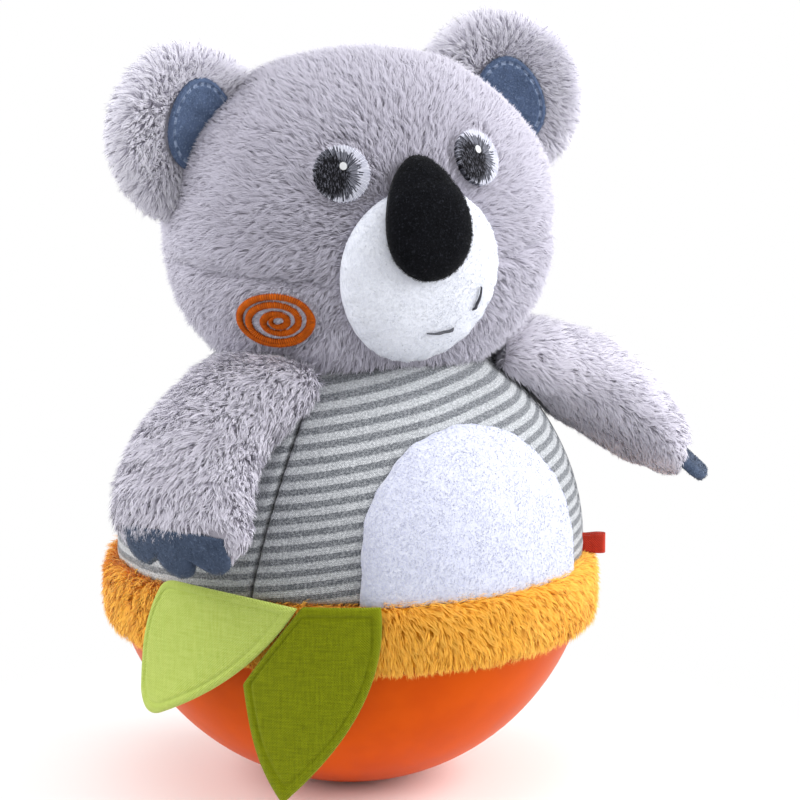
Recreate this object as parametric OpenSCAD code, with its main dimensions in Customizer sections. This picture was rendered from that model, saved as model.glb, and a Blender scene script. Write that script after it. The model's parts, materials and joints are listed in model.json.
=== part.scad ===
// Roly-poly koala: a weighted plastic bowl with a chime inside, a stuffed striped body,
// a stuffed head and two sewn arms. The origin is the middle of the small flat that it
// rests on, +Z is up, and the face looks towards -Y. Lengths are in millimetres.

/* [Ball] */
// Radius of the ball that the bowl and the body share
ball_r = 60; // [56:0.5:66]
// Diameter of the small flat that the bowl rests on
foot_d = 16; // [12:0.5:20]

/* [Bowl] */
// Wall of the bowl and of its neck
bowl_wall = 2.6; // [2.2:0.1:3]
// Height at which the round wall ends and the neck begins
bowl_h = 41; // [38:0.5:44]
// Height of the neck that the cover is tied to
neck_h = 14; // [12:0.5:16]
// How far the neck stands in from the round wall
neck_inset = 4; // [3.5:0.1:5]
// Thickness of the lid
lid_t = 3; // [2.8:0.1:3.6]
// Diameter of the four posts that carry the lid
post_d = 8; // [7:0.1:9]

/* [Weight] */
// Radius of the cast weight
weight_r = 41; // [34:0.5:42]
// Height of the weight's top above the floor
weight_top = 24; // [21:0.5:25]
// Radius of the recess in the weight's top
recess_r = 20; // [19:0.5:22]
// Height of the recess's floor above the rest flat
recess_z = 15; // [13:0.5:16]
// Diameter of the bowl's middle boss, which the weight fits over
boss_d = 10; // [9:0.1:11]

/* [Chime] */
// Thickness of the holder that the tone bars stand in
holder_t = 5; // [4:0.1:6]
// Width of a tone bar
bar_w = 6; // [5:0.1:7]
// Thickness of a tone bar
bar_t = 2; // [1.6:0.1:2.4]
// Length of the longest tone bar
bar_l = 24; // [22:0.5:26]
// How much shorter each next tone bar is
bar_step = 2; // [1:0.1:2.5]
// Radius of the clapper's ball
clapper_r = 5.5; // [4.5:0.1:6]
// Middle radius of the eyes and of the ring that the clapper hangs from
eye_r = 3.5; // [3.2:0.1:3.8]
// Radius of their wire
wire_r = 1; // [0.8:0.05:1.1]
// Swing of the link to each side, in degrees
link_swing = 15; // [8:1:16]
// Swing of the clapper to each side, in degrees
clapper_swing = 22; // [10:1:23]

/* [Fasteners] */
// Diameter of the screw that holds the weight
weight_screw_d = 4; // [3.5:0.1:4.5]
// Length of that screw under its head
weight_screw_l = 14; // [12:0.5:15]
// Diameter of the four lid screws
lid_screw_d = 3; // [2.5:0.1:3.5]
// Length of a lid screw under its head
lid_screw_l = 11; // [8:0.5:13]
// Thickness of the tie that holds the cover on the neck
tie_t = 1.6; // [1:0.1:1.8]
// Width of that tie
tie_w = 4; // [3:0.1:5]

/* [Body] */
// Height of the plush band
band_h = 16; // [14:0.5:18]
// How far the band stands out from the ball
band_proud = 2.2; // [1.6:0.1:3]
// Radius of the band's round edges
band_round = 5; // [4:0.1:6]
// How far the striped cover stands in from the ball
jersey_inset = 1.8; // [1.2:0.1:2.4]
// Thickness of the striped cover
jersey_t = 1.6; // [1.2:0.1:2]
// Half of the angle that the front panel takes up, in degrees
panel_half = 51; // [45:1:58]
// Radius of the cover's opening under the head
neck_hole_r = 22; // [18:0.5:25]
// Width of the tummy patch
patch_w = 63; // [54:0.5:66]
// How far the tummy patch's top lies below the cover's top
patch_drop = 21.5; // [19:0.5:25]
// Thickness of the tummy patch
patch_t = 1.8; // [1.4:0.1:2.4]
// Turn of the tummy patch from straight ahead, in degrees
patch_turn = 2; // [0:1:6]

/* [Head] */
// Width of the head
head_w = 97; // [90:0.5:102]
// Depth of the head
head_d = 80; // [76:0.5:86]
// Height of the head
head_h = 85; // [80:0.5:88]
// How far the head sinks onto the body
head_sink = 19.7; // [17.5:0.1:21]
// How far the head's middle lies in front of the ball's
head_lead = 4; // [2:0.5:6]
// Turn of the head from straight ahead, in degrees
head_turn = -11; // [-15:1:15]
// Tilt of the head towards the toy's right, in degrees
head_tilt = 3.8; // [0:0.1:6]
// How square the head's roundness is: 2 is an ellipsoid
head_round_share = 2.2; // [2:0.05:2.4]

/* [Face] */
// Width of the muzzle
muzzle_w = 40.5; // [38:0.5:44]
// Height of the muzzle
muzzle_h = 43; // [38:0.5:45]
// Height of the muzzle's middle above the head's middle
muzzle_z = -8.5; // [-10:0.5:-7]
// Padding of the muzzle at its middle
muzzle_t = 4; // [3:0.1:5]
// Thickness of the muzzle at its sewn edge
muzzle_edge = 1; // [0.8:0.1:1.4]
// Width of the nose
nose_w = 18; // [16:0.5:21]
// Height of the nose
nose_h = 25; // [23:0.5:28]
// Height of the nose's middle above the head's middle
nose_z = 5; // [3:0.5:7]
// Padding of the nose
nose_t = 6; // [4:0.1:7]
// Distance of each eye's middle from the face's middle line
eye_x = 17.8; // [16.5:0.1:20]
// Height of the eyes above the head's middle
eye_z = 16.5; // [15:0.1:19]
// Width of an eye
eye_w = 13.4; // [12:0.1:15]
// Height of an eye
eye_h = 14; // [13:0.1:16]
// Thickness of the embroidery
thread_t = 0.9; // [0.6:0.1:1.2]
// Width of the cheek spiral
swirl_w = 20; // [17:0.5:22]
// Height of the cheek spiral
swirl_h = 16; // [14:0.5:18]
// Turns of the cheek spiral
swirl_turns = 3; // [2:1:3]
// Width of the spiral's stitched band
swirl_band = 2.1; // [1.3:0.1:2.2]

/* [Ears] */
// Outer radius of an ear
ear_r = 22.5; // [20:0.5:25]
// Radius of the ear's plump rim
ear_rim_r = 5.5; // [4.5:0.1:5.6]
// How far the ear's back swells behind its rim
ear_swell = 3; // [2:0.1:4]
// Depth of the ear's hollow, from the rim's middle
ear_hollow = 1.5; // [0.5:0.1:2.5]
// How far each ear's middle lies in from the head's side
ear_in = 7.5; // [4.5:0.5:9.5]
// How far the ears' middle lies below the head's top
ear_drop = 16.5; // [14.5:0.5:18.5]
// How far the ears' middle lies behind the head's middle
ear_back = 4; // [0:0.5:8]
// How far each ear turns outwards, in degrees
ear_turn = -12; // [-20:1:10]
// Height of the felt lining
lining_h = 23; // [20:0.5:23]
// Width of the felt lining
lining_w = 19; // [16:0.5:19]
// Thickness of the felt
felt_t = 1.4; // [1:0.1:2]

/* [Arms] */
// Length of an arm along its middle
arm_l = 57; // [54:0.5:60]
// Width of the hand
arm_w = 40; // [36:0.5:42]
// Thickness of the arm
arm_t = 23; // [20:0.5:25]
// Angle of the arms from straight ahead, in degrees
arm_az = 67; // [62:1:72]
// Distance of the shoulder seam from the toy's axis
shoulder_r = 36; // [35:0.5:37]
// How far the shoulder seam lies outside the cover
shoulder_gap = 1.2; // [0.8:0.1:1.8]
// How far the toy's left arm is lifted, in degrees
left_lift = 12; // [8:1:20]
// Width of one claw
claw_w = 9; // [8:0.1:10]
// How far the claws reach past the hand
claw_l = 7.5; // [6:0.1:9]

/* [Leaves and tag] */
// Length of a leaf
leaf_l = 48; // [44:0.5:50]
// Thickness of a leaf's two sewn layers
leaf_t = 1.6; // [1.2:0.1:2]
// Angle of the leaves' seam from straight ahead, in degrees
leaf_az = -36; // [-42:1:-30]
// Length of the ribbon tag out of the seam
tag_l = 6; // [4:0.5:8]
// Width of the ribbon tag
tag_w = 5; // [4:0.5:7]
// Thickness of the folded ribbon
tag_t = 1.6; // [1:0.1:2]

/* [Hidden] */
$fn = 64;

// Overrun of every cut
over = 1;
// Running and seating clearances
seat_gap = 0.15;
screw_gap = 0.1;
soft_gap = 0.35;
seam_gap = 0.1;
strike_gap = 0.6;
// Sides and rings of the soft forms
head_sides = 32;
head_rings = 16;
arm_sides = 20;
ear_sides = 24;
rim_steps = 8;
outline_steps = 28;
curve_steps = 8;
thread_sides = 6;
turn_steps = 24;

// The ball and the heights that follow from it
ball_z = sqrt(ball_r * ball_r - foot_d * foot_d / 4);
bowl_in_r = ball_r - bowl_wall;
edge_r = sqrt(ball_r * ball_r - pow(ball_z - bowl_h, 2));
neck_r = edge_r - neck_inset;
neck_in_r = neck_r - bowl_wall;
rim_z = bowl_h + neck_h;
lid_z = rim_z - lid_t;
lid_r = neck_in_r - seat_gap;
post_r = neck_in_r - post_d / 2 + bowl_wall / 4;
post_count = 4;
post_turn = 45;
screw_head_share = 1.9;
drive_share = 0.25;
lid_head_t = lid_t / 2;
pilot_spare = 1;
boss_top = recess_z - seat_gap;
rib_count = 8;
rib_t = 1.6;
rib_h = 5;

// The chime, hung from an eye under the lid
bar_shares = [0, 1, 2, 3];
holder_floor = 1.3;
bar_sink = holder_t - holder_floor;
holder_r = recess_r - seat_gap;
holder_top = recess_z + holder_t;
hang_gap = 0.25;
eye_cz = lid_z - eye_r + wire_r;
link_axis_z = eye_cz - eye_r;
link_cz = link_axis_z + 2 * wire_r + hang_gap - eye_r;
clapper_axis_z = link_cz - eye_r;
clapper_eye_cz = clapper_axis_z + 2 * wire_r + hang_gap - eye_r;
ball_drop = eye_r + wire_r + clapper_r + wire_r / 2;
clapper_cz = clapper_eye_cz - ball_drop;
reach_x = (clapper_axis_z - clapper_cz) * sin(clapper_swing);
reach_y = (link_axis_z - clapper_cz) * sin(link_swing);
bar_x = reach_x + clapper_r + strike_gap + bar_t / 2;
bar_y = reach_y + clapper_r + strike_gap + bar_t / 2;

// The body's layers
band_top = bowl_h + band_h;
band_r = ball_r + band_proud;
band_in_r = neck_r + tie_t + 2 * seat_gap;
tie_z = bowl_h + (neck_h - tie_w) / 2;
jersey_r = ball_r - jersey_inset;
stuffing_r = jersey_r - jersey_t - seam_gap;
stuffing_foot_r = min(band_in_r, stuffing_r) - seat_gap;
seam_z = band_top + seam_gap;
patch_in_r = jersey_r + seam_gap;
patch_cz = ball_z + jersey_r - patch_drop - patch_w / 2;

// The head's half sizes and the places of the face
head_half = [head_w / 2, head_d / 2, head_h / 2];
head_z = ball_z + jersey_r + head_half.z - head_sink;
face_gap = 0.3;
stitch_w = 1.3;
nose_egg_share = 0.2;
muzzle_egg_share = -0.06;
lining_egg_share = 0.18;
swirl_place_shares = [-0.69, -0.385];
smile_shares = [[0.01, -0.465], [0.29, -0.58], [0.33, -0.27]];
ring_shares = [0.35, 0.7, 0.9, 1];
dome_drop_share = 0.91;
ease_share = 0.4;
ear_cup_r = ear_r - ear_rim_r;
ear_x = head_half.x - ear_in;
ear_z = head_half.z - ear_drop;
ear_dome_shares = [0.4, 0.75];

// The arm: points along its middle as shares of its length, out and down from the shoulder seam,
// then its width and its thickness there as shares of the largest
arm_path_shares = [
    [0, 0], [0.07, -0.03], [0.2, -0.11], [0.38, -0.25], [0.54, -0.42], [0.645, -0.58], [0.68, -0.68]
];
arm_width_shares = [0.5, 0.58, 0.76, 0.94, 1, 0.93, 0.68];
arm_thick_shares = [0.08, 0.2, 0.66, 0.96, 1, 0.86, 0.5];
arm_end_share = 0.03;
shoulder_reach = jersey_r + shoulder_gap;
shoulder_z = ball_z + sqrt(shoulder_reach * shoulder_reach - shoulder_r * shoulder_r);
claw_t = 2 * felt_t;
claw_count = 3;
claw_pitch_share = 0.92;
claw_fan_share = 0.25;

// The leaves: outlines as shares of a leaf's length, along the seam and down from it
leaf_in_r = band_r + soft_gap;
leaf_seam_z = seam_z + leaf_t / 2;
light_leaf_shares = [
    [[-0.21, 0.01], [-0.43, 0.39], [-1.04, 0.66]],
    [[-1.04, 0.66], [-1.2, 0.3], [-0.96, -0.05]],
    [[-0.96, -0.05], [-0.6, -0.08], [-0.21, 0.01]]
];
dark_leaf_shares = [
    [[0.215, 0], [0.27, 0.5], [-0.27, 1]],
    [[-0.27, 1], [-0.42, 0.8], [-0.47, 0.41]],
    [[-0.47, 0.41], [-0.32, 0.2], [-0.165, 0]],
    [[-0.165, 0], [0.02, 0], [0.215, 0]]
];
tag_rise_share = 0.6;
tag_z = seam_z + tag_w * tag_rise_share;

// A point on an upright cylinder: angles start straight ahead and grow towards the toy's left
function on_cylinder(r, az, z) = [r * sin(az), -r * cos(az), z];

// Points on the head's rounded form, from the head's middle
function roundness(v) = pow(
    pow(abs(v.x) / head_half.x, head_round_share)
    + pow(abs(v.y) / head_half.y, head_round_share)
    + pow(abs(v.z) / head_half.z, head_round_share), 1 / head_round_share);
function on_head(v) = v / roundness(v);
function lifted(p, rise) = p * (1 + rise / norm(p));
function face_depth(x, z) = head_half.y * pow(max(0, 1
    - pow(abs(x) / head_half.x, head_round_share)
    - pow(abs(z) / head_half.z, head_round_share)), 1 / head_round_share);
function face(x, z) = [x, -face_depth(x, z), z];
function unit(v) = v / norm(v);
function sideways(p) = unit([-p.y, p.x, 0]);
function upwards(p) = unit(cross(p, sideways(p)));
function beside(p, u, v) = on_head(p + u * sideways(p) + v * upwards(p));

// Plane outlines: an egg, narrower at its top where egg_share is above zero, and a bent edge
function egg(w, h, egg_share, t) = [w / 2 * cos(t) * (1 - egg_share * sin(t)), h / 2 * sin(t)];
function bend(edge, t) = edge[0] * pow(1 - t, 2) + edge[1] * 2 * t * (1 - t) + edge[2] * t * t;
function outline(edges) = [for (edge = edges, i = [0:curve_steps - 1]) bend(edge, i / curve_steps)];
function mean(points, i = 0) = i == len(points) ? [0, 0] : points[i] / len(points) + mean(points, i + 1);

// Height of a pad's top at a share of the way from its middle to its edge
function dome(share) = sqrt(1 - dome_drop_share * pow(share, 4));

// How far the muzzle stands out of the head at a place on the face, easing off outside its edge
function muzzle_reach(x, z) = norm([2 * x / muzzle_w, 2 * (z - muzzle_z) / muzzle_h]);
function muzzle_rise(x, z) = let (reach = muzzle_reach(x, z))
    (muzzle_edge + (muzzle_t - muzzle_edge) * dome(min(1, reach)))
    * max(0, min(1, (1 + ease_share - reach) / ease_share));

// A closed skin over rings of points, each ring turning right-handed about the way from start to end
module skin(start, rings, end) {
    n = len(rings[0]);
    points = concat([start], [for (ring = rings) each ring], [end]);
    last = len(points) - 1;
    first_fan = [for (j = [0:n - 1]) [0, 1 + j, 1 + (j + 1) % n]];
    walls = [for (i = [0:len(rings) - 2], j = [0:n - 1])
        let (a = 1 + i * n + j, b = 1 + i * n + (j + 1) % n)
        each [[a, a + n, b + n], [a, b + n, b]]];
    last_fan = [for (j = [0:n - 1]) [last, last - n + (j + 1) % n, last - n + j]];
    polyhedron(points, concat(first_fan, walls, last_fan));
}

// A thread laid along points around the head's middle, flat against the head
module stitched(path, w, t) {
    rings = [for (i = [0:len(path) - 1])
        let (
            along = unit(path[min(i + 1, len(path) - 1)] - path[max(i - 1, 0)]),
            out = unit(path[i]),
            across = unit(cross(out, along))
        )
        [for (k = [0:thread_sides - 1])
            let (turn = k * 360 / thread_sides)
            path[i] - w / 2 * cos(turn) * across - t / 2 * sin(turn) * out]];
    skin(path[0], rings, path[len(path) - 1]);
}

// A padded piece on the head: its edge is a list of places, and base_rise gives its underside's height
module padded_piece(middle, rim, base_rise, edge, pad) {
    function padded(p, share, height) = let (spot = on_head(middle + (p - middle) * share))
        lifted(spot, base_rise(spot) + height);
    function rings(shares, tall) = [for (share = shares)
        [for (p = rim) padded(p, share, tall ? edge + pad * dome(share) : 0)]];
    inwards = [for (i = [len(ring_shares) - 1:-1:0]) ring_shares[i]];
    skin(padded(middle, 0, 0), concat(rings(ring_shares, false), rings(inwards, true)),
        padded(middle, 0, edge + pad));
}

module on_neck() {
    translate([0, -head_lead, head_z]) rotate([0, -head_tilt, head_turn]) children();
}

module both_ways(side) {
    if (side < 0) children();
    else mirror([1, 0, 0]) children();
}

// The bowl's cut-off ball profile between two heights, for radius r
module ball_profile(r, low, high) {
    intersection() {
        translate([0, ball_z]) circle(r, $fn = 96);
        translate([0, low]) square([r, high - low]);
    }
}

module tone_ring(r, wire, z, turn) {
    translate([0, 0, z]) rotate([90, 0, turn]) rotate_extrude() translate([r, 0]) circle(wire);
}

module base_bowl() color("#d8500a") {
    difference() {
        union() {
            rotate_extrude() difference() {
                ball_profile(ball_r, 0, bowl_h);
                ball_profile(bowl_in_r, -over, bowl_h - bowl_wall);
                translate([0, bowl_h - bowl_wall - over]) square([neck_in_r, bowl_wall + 2 * over]);
            }
            translate([0, 0, bowl_h - bowl_wall]) rotate_extrude()
                translate([neck_in_r, 0]) square([bowl_wall, neck_h + bowl_wall]);
            intersection() {
                rotate_extrude() ball_profile(bowl_in_r + bowl_wall / 2, bowl_wall / 2, lid_z);
                union() {
                    cylinder(d = boss_d, h = boss_top);
                    for (i = [0:post_count - 1]) rotate(post_turn + i * 360 / post_count)
                        translate([post_r, 0, 0]) cylinder(d = post_d, h = lid_z);
                    difference() {
                        for (i = [0:rib_count - 1]) rotate(i * 360 / rib_count)
                            translate([0, -rib_t / 2, 0]) cube([ball_r, rib_t, bowl_h - bowl_wall]);
                        translate([0, 0, -over]) cylinder(r = weight_r + seat_gap, h = weight_top + over);
                        translate([0, 0, -over]) cylinder(r = neck_in_r - rib_h, h = ball_r);
                    }
                }
            }
        }
        translate([0, 0, holder_top - weight_screw_l - pilot_spare])
            cylinder(d = weight_screw_d + screw_gap, h = ball_r);
        for (i = [0:post_count - 1]) rotate(post_turn + i * 360 / post_count)
            translate([post_r, 0, rim_z - lid_head_t - lid_screw_l - pilot_spare])
                cylinder(d = lid_screw_d + screw_gap, h = ball_r);
    }
}

module ballast_weight() color("#6d6e70") {
    rotate_extrude() difference() {
        intersection() {
            ball_profile(bowl_in_r - seat_gap, 0, weight_top);
            square([weight_r, weight_top]);
        }
        square([boss_d / 2 + seat_gap, weight_top]);
        translate([0, recess_z]) square([recess_r, weight_top]);
    }
}

module weight_screw() color("#b9bcc0") {
    head_r = weight_screw_d / 2 * screw_head_share;
    drive_w = weight_screw_d * drive_share;
    difference() {
        union() {
            translate([0, 0, holder_top - weight_screw_l]) cylinder(d = weight_screw_d, h = weight_screw_l);
            translate([0, 0, holder_top]) intersection() {
                cylinder(r = head_r, h = weight_screw_d / 2);
                translate([0, 0, -head_r]) sphere(head_r + weight_screw_d / 2);
            }
        }
        for (turn = [0, 90]) rotate(turn)
            translate([-head_r / 2, -drive_w / 2, holder_top + weight_screw_d / 4])
                cube([head_r, drive_w, weight_screw_d]);
    }
}

// The four sides of the square that the clapper swings in: distance out and turn of each tone bar
module at_bars() {
    for (i = [0:len(bar_shares) - 1]) {
        $bar = i;
        rotate(i * 90) translate([i % 2 == 0 ? bar_x : bar_y, 0, 0]) children();
    }
}

module chime_holder() color("#efece4") {
    difference() {
        union() {
            translate([0, 0, recess_z]) cylinder(r = holder_r, h = holder_t - holder_floor);
            translate([0, 0, recess_z]) cylinder(r = holder_r - 2 * holder_floor, h = holder_t);
        }
        translate([0, 0, recess_z - over])
            cylinder(d = weight_screw_d + 2 * screw_gap, h = holder_t + 2 * over);
        at_bars() translate([0, 0, holder_top - bar_sink + ball_r / 2])
            cube([bar_t + 2 * screw_gap, bar_w + 2 * screw_gap, ball_r], center = true);
    }
}

module tone_bars() color("#c9ccd1") {
    at_bars() {
        length = bar_l - bar_step * bar_shares[$bar];
        translate([0, 0, holder_top - bar_sink + length / 2]) cube([bar_t, bar_w, length], center = true);
    }
}

module clapper_link() color("#c8a24a") {
    tone_ring(eye_r, wire_r, link_cz, 90);
}

module clapper() color("#c8a24a") {
    union() {
        tone_ring(eye_r, wire_r, clapper_eye_cz, 0);
        translate([0, 0, clapper_cz]) cylinder(r = wire_r, h = ball_drop - eye_r);
        translate([0, 0, clapper_cz]) sphere(clapper_r);
    }
}

module base_lid() color("#f0ede6") {
    difference() {
        union() {
            translate([0, 0, lid_z]) cylinder(r = lid_r, h = lid_t);
            tone_ring(eye_r, wire_r, eye_cz, 0);
        }
        for (i = [0:post_count - 1]) rotate(post_turn + i * 360 / post_count) translate([post_r, 0, lid_z]) {
            translate([0, 0, -over]) cylinder(d = lid_screw_d + 2 * screw_gap, h = lid_t + 2 * over);
            translate([0, 0, lid_t - lid_head_t])
                cylinder(d = lid_screw_d * screw_head_share + 2 * screw_gap, h = lid_t);
        }
    }
}

module lid_screws() color("#b9bcc0") {
    head_d = lid_screw_d * screw_head_share;
    drive_w = lid_screw_d * drive_share;
    for (i = [0:post_count - 1]) rotate(post_turn + i * 360 / post_count)
        translate([post_r, 0, rim_z - lid_head_t]) difference() {
            union() {
                translate([0, 0, -lid_screw_l]) cylinder(d = lid_screw_d, h = lid_screw_l);
                cylinder(d = head_d, h = lid_head_t - screw_gap);
            }
            for (turn = [0, 90]) rotate(turn)
                translate([-head_d / 4, -drive_w / 2, lid_head_t / 2]) cube([head_d / 2, drive_w, lid_t]);
        }
}

// A nylon loop that draws the cover's hem onto the neck
module cover_tie() color("#e8e6df") {
    translate([0, 0, tie_z]) rotate_extrude() translate([neck_r + seat_gap, 0]) square([tie_t, tie_w]);
}

module plush_band() color("#edb032") {
    low = bowl_h + seam_gap;
    flat_r = band_r - band_round;
    rotate_extrude() intersection() {
        union() {
            translate([0, low]) square([flat_r, band_top - low]);
            translate([0, low + band_round]) square([band_r, band_top - low - 2 * band_round]);
            for (z = [low + band_round, band_top - band_round]) translate([flat_r, z]) circle(band_round);
        }
        translate([band_in_r, low]) square([band_r - band_in_r, band_top - low]);
    }
}

module body_stuffing() color("#f3f2ee") {
    rotate_extrude() {
        translate([0, rim_z]) square([stuffing_foot_r, band_h - neck_h + seam_gap]);
        ball_profile(stuffing_r, seam_z, ball_z + ball_r);
    }
}

// A sewn panel of the striped cover between two angles from straight ahead
module cover_panel(from_az, to_az) {
    rotate(from_az - 90) rotate_extrude(angle = to_az - from_az) difference() {
        ball_profile(jersey_r, seam_z, ball_z + ball_r);
        ball_profile(jersey_r - jersey_t, 0, ball_z + ball_r);
        square([neck_hole_r, ball_z + 2 * ball_r]);
    }
}

module front_panel() color("#a9acb2") cover_panel(-panel_half, panel_half);

module back_panel() color("#a2a5ab") cover_panel(panel_half, 360 - panel_half);

module tummy_patch() color("#eef0f6") {
    rotate(patch_turn) intersection() {
        difference() {
            translate([0, 0, ball_z]) sphere(patch_in_r + patch_t);
            translate([0, 0, ball_z]) sphere(patch_in_r);
        }
        rotate([90, 0, 0]) linear_extrude(2 * ball_r) {
            intersection() {
                translate([0, patch_cz]) circle(d = patch_w);
                translate([-patch_w, seam_z]) square(2 * patch_w);
            }
            translate([-patch_w / 2, seam_z]) square([patch_w, max(seam_gap, patch_cz - seam_z)]);
        }
    }
}

// The stuffed head's rounded form, grown all round by a clearance
module head_form(grow) {
    tall = head_half.z;
    rings = [for (i = [1:head_rings - 1])
        let (lift = -90 + 180 * i / head_rings)
        [for (j = [0:head_sides - 1])
            let (turn = j * 360 / head_sides)
            lifted(on_head([cos(turn) * cos(lift), sin(turn) * cos(lift), sin(lift)]), grow)]];
    skin([0, 0, -tall - grow], rings, [0, 0, tall + grow]);
}

module head() color("#b5b2bd") {
    difference() {
        on_neck() head_form(0);
        translate([0, 0, ball_z]) sphere(jersey_r + seam_gap);
    }
}

module muzzle() color("#e9eaf2") {
    on_neck() {
        rim = [for (i = [0:outline_steps - 1])
            let (p = egg(muzzle_w, muzzle_h, muzzle_egg_share, i * 360 / outline_steps))
            face(p.x, muzzle_z + p.y)];
        padded_piece(face(0, muzzle_z), rim, function (p) face_gap, muzzle_edge, muzzle_t - muzzle_edge);
    }
}

module nose() color("#1d1f26") {
    on_neck() {
        rim = [for (i = [0:outline_steps - 1])
            let (p = egg(nose_w, nose_h, nose_egg_share, i * 360 / outline_steps))
            face(p.x, nose_z + p.y)];
        padded_piece(face(0, nose_z), rim, function (p) 2 * face_gap + muzzle_rise(p.x, p.z),
            felt_t, nose_t - felt_t);
    }
}

module eye(side) {
    on_neck() {
        middle = face(side * eye_x, eye_z);
        rim = [for (i = [0:outline_steps - 1])
            let (p = egg(eye_w, eye_h, 0, i * 360 / outline_steps))
            beside(middle, p.x, p.y)];
        padded_piece(middle, rim, function (p) face_gap, thread_t / 2, thread_t / 2);
    }
}

module right_eye() color("#8a8c96") eye(-1);

module left_eye() color("#8a8c96") eye(1);

module smile_stitches() color("#55565e") {
    on_neck() {
        places = [for (share = smile_shares) [share.x * muzzle_w, share.y * muzzle_h]];
        path = [for (i = [0:curve_steps])
            let (p = bend([places[0], places[1], places[2]], i / curve_steps))
            lifted(face(p.x, p.y), face_gap * 2 + muzzle_rise(p.x, p.y) + thread_t / 2)];
        stitched(path, stitch_w, thread_t);
    }
}

module cheek_swirl() color("#b9601c") {
    on_neck() {
        middle = face(swirl_place_shares.x * head_half.x, swirl_place_shares.y * head_half.z);
        steps = swirl_turns * turn_steps;
        path = [for (i = [turn_steps / 2:steps])
            let (turn = i * 360 / turn_steps, share = i / steps)
            lifted(beside(middle, swirl_w / 2 * share * cos(turn), swirl_h / 2 * share * sin(turn)),
                face_gap + thread_t / 2)];
        stitched(path, swirl_band, thread_t);
    }
}

// Carries its children from an ear's own middle, its hollow upwards, to the toy's right ear
module at_right_ear() {
    translate([-ear_x, ear_back, ear_z]) rotate(-ear_turn) rotate([90, 0, 0]) children();
}

// The plump ear's section from its back's middle to its hollow: distance out, then height
function ear_section() = concat(
    [for (share = ear_dome_shares) [ear_cup_r * share, -ear_rim_r - ear_swell * (1 - share * share)]],
    [for (i = [0:rim_steps])
        let (turn = -90 + (270 - asin(ear_hollow / ear_rim_r)) * i / rim_steps)
        [ear_cup_r + ear_rim_r * cos(turn), ear_rim_r * sin(turn)]]);

module ear_form() {
    rings = [for (p = ear_section()) [for (j = [0:ear_sides - 1])
        let (turn = j * 360 / ear_sides)
        [p.x * cos(turn), p.x * sin(turn), p.y]]];
    skin([0, 0, -ear_rim_r - ear_swell], rings, [0, 0, ear_hollow]);
}

module ear(side) {
    on_neck() both_ways(side) difference() {
        at_right_ear() ear_form();
        head_form(seam_gap);
    }
}

module right_ear() color("#c2c2d0") ear(-1);

module left_ear() color("#c2c2d0") ear(1);

module ear_lining(side) {
    on_neck() both_ways(side) difference() {
        at_right_ear() translate([0, 0, ear_hollow + seam_gap]) linear_extrude(felt_t)
            polygon([for (i = [0:outline_steps - 1])
                egg(lining_w, lining_h, lining_egg_share, i * 360 / outline_steps)]);
        head_form(seam_gap);
    }
}

module right_ear_lining() color("#66779a") ear_lining(-1);

module left_ear_lining() color("#66779a") ear_lining(1);

// Carries its children from the shoulder seam, outwards along +X, to an arm's place on the toy
module at_shoulder(side, lift) {
    rotate(side * arm_az - 90) translate([shoulder_r, 0, shoulder_z]) rotate([0, -lift, 0]) children();
}

function arm_point(i) = arm_l * [arm_path_shares[i].x, 0, arm_path_shares[i].y];
function arm_way(i) = unit(arm_point(min(i + 1, len(arm_path_shares) - 1)) - arm_point(max(i - 1, 0)));

module arm_form() {
    count = len(arm_path_shares);
    rings = [for (i = [0:count - 1])
        let (way = arm_way(i), out = [-way.z, 0, way.x])
        [for (k = [0:arm_sides - 1])
            let (turn = k * 360 / arm_sides)
            arm_point(i) + arm_w / 2 * arm_width_shares[i] * cos(turn) * [0, 1, 0]
                + arm_t / 2 * arm_thick_shares[i] * sin(turn) * out]];
    tip = arm_point(count - 1) + arm_l * arm_end_share * arm_way(count - 1);
    skin(arm_point(0) - arm_l * arm_end_share / 2 * arm_way(0), rings, tip);
}

module arm(side, lift) {
    at_shoulder(side, lift) difference() {
        arm_form();
        translate([-shoulder_r, 0, ball_z - shoulder_z]) sphere(jersey_r + soft_gap);
    }
}

module right_arm() color("#b9b6c4") arm(-1, 0);

module left_arm() color("#b9b6c4") arm(1, left_lift);

// Three felt claws sewn into the end of the hand
module claws(side, lift) {
    end = len(arm_path_shares) - 1;
    way = arm_way(end);
    tip = arm_l * arm_end_share;
    end_half = arm_w / 2 * arm_width_shares[end];
    at_shoulder(side, lift) translate(arm_point(end)) rotate([0, atan2(way.x, way.z), 0])
        rotate([90, 0, 90]) translate([0, 0, -claw_t / 2]) linear_extrude(claw_t)
            for (i = [0:claw_count - 1]) {
                y = (i - (claw_count - 1) / 2) * claw_w * claw_pitch_share;
                base = tip * (1 - max(0, abs(y) - claw_w / 2) / end_half) + seam_gap;
                reach = tip + claw_l - claw_w / 2 - abs(y) * claw_fan_share;
                intersection() {
                    union() {
                        translate([y, reach]) circle(d = claw_w);
                        translate([y - claw_w / 2, base]) square([claw_w, max(0, reach - base)]);
                    }
                    translate([y - claw_w, base]) square([2 * claw_w, claw_w + claw_l]);
                }
            }
}

module right_claws() color("#3f4d63") claws(-1, 0);

module left_claws() color("#3f4d63") claws(1, left_lift);

// A leaf of two sewn layers that follows the band's roundness
module leaf(edges) {
    rim = outline(edges) * leaf_l;
    middle = mean(rim);
    function bent(p, r) = on_cylinder(r, leaf_az + p.x / leaf_in_r * 180 / PI, leaf_seam_z - p.y);
    function loop(share, r) = [for (i = [len(rim) - 1:-1:0]) bent(middle + (rim[i] - middle) * share, r)];
    inner = [for (share = ring_shares) loop(share, leaf_in_r)];
    outer = [for (i = [len(ring_shares) - 1:-1:0]) loop(ring_shares[i], leaf_in_r + leaf_t)];
    skin(bent(middle, leaf_in_r), concat(inner, outer), bent(middle, leaf_in_r + leaf_t));
}

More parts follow.
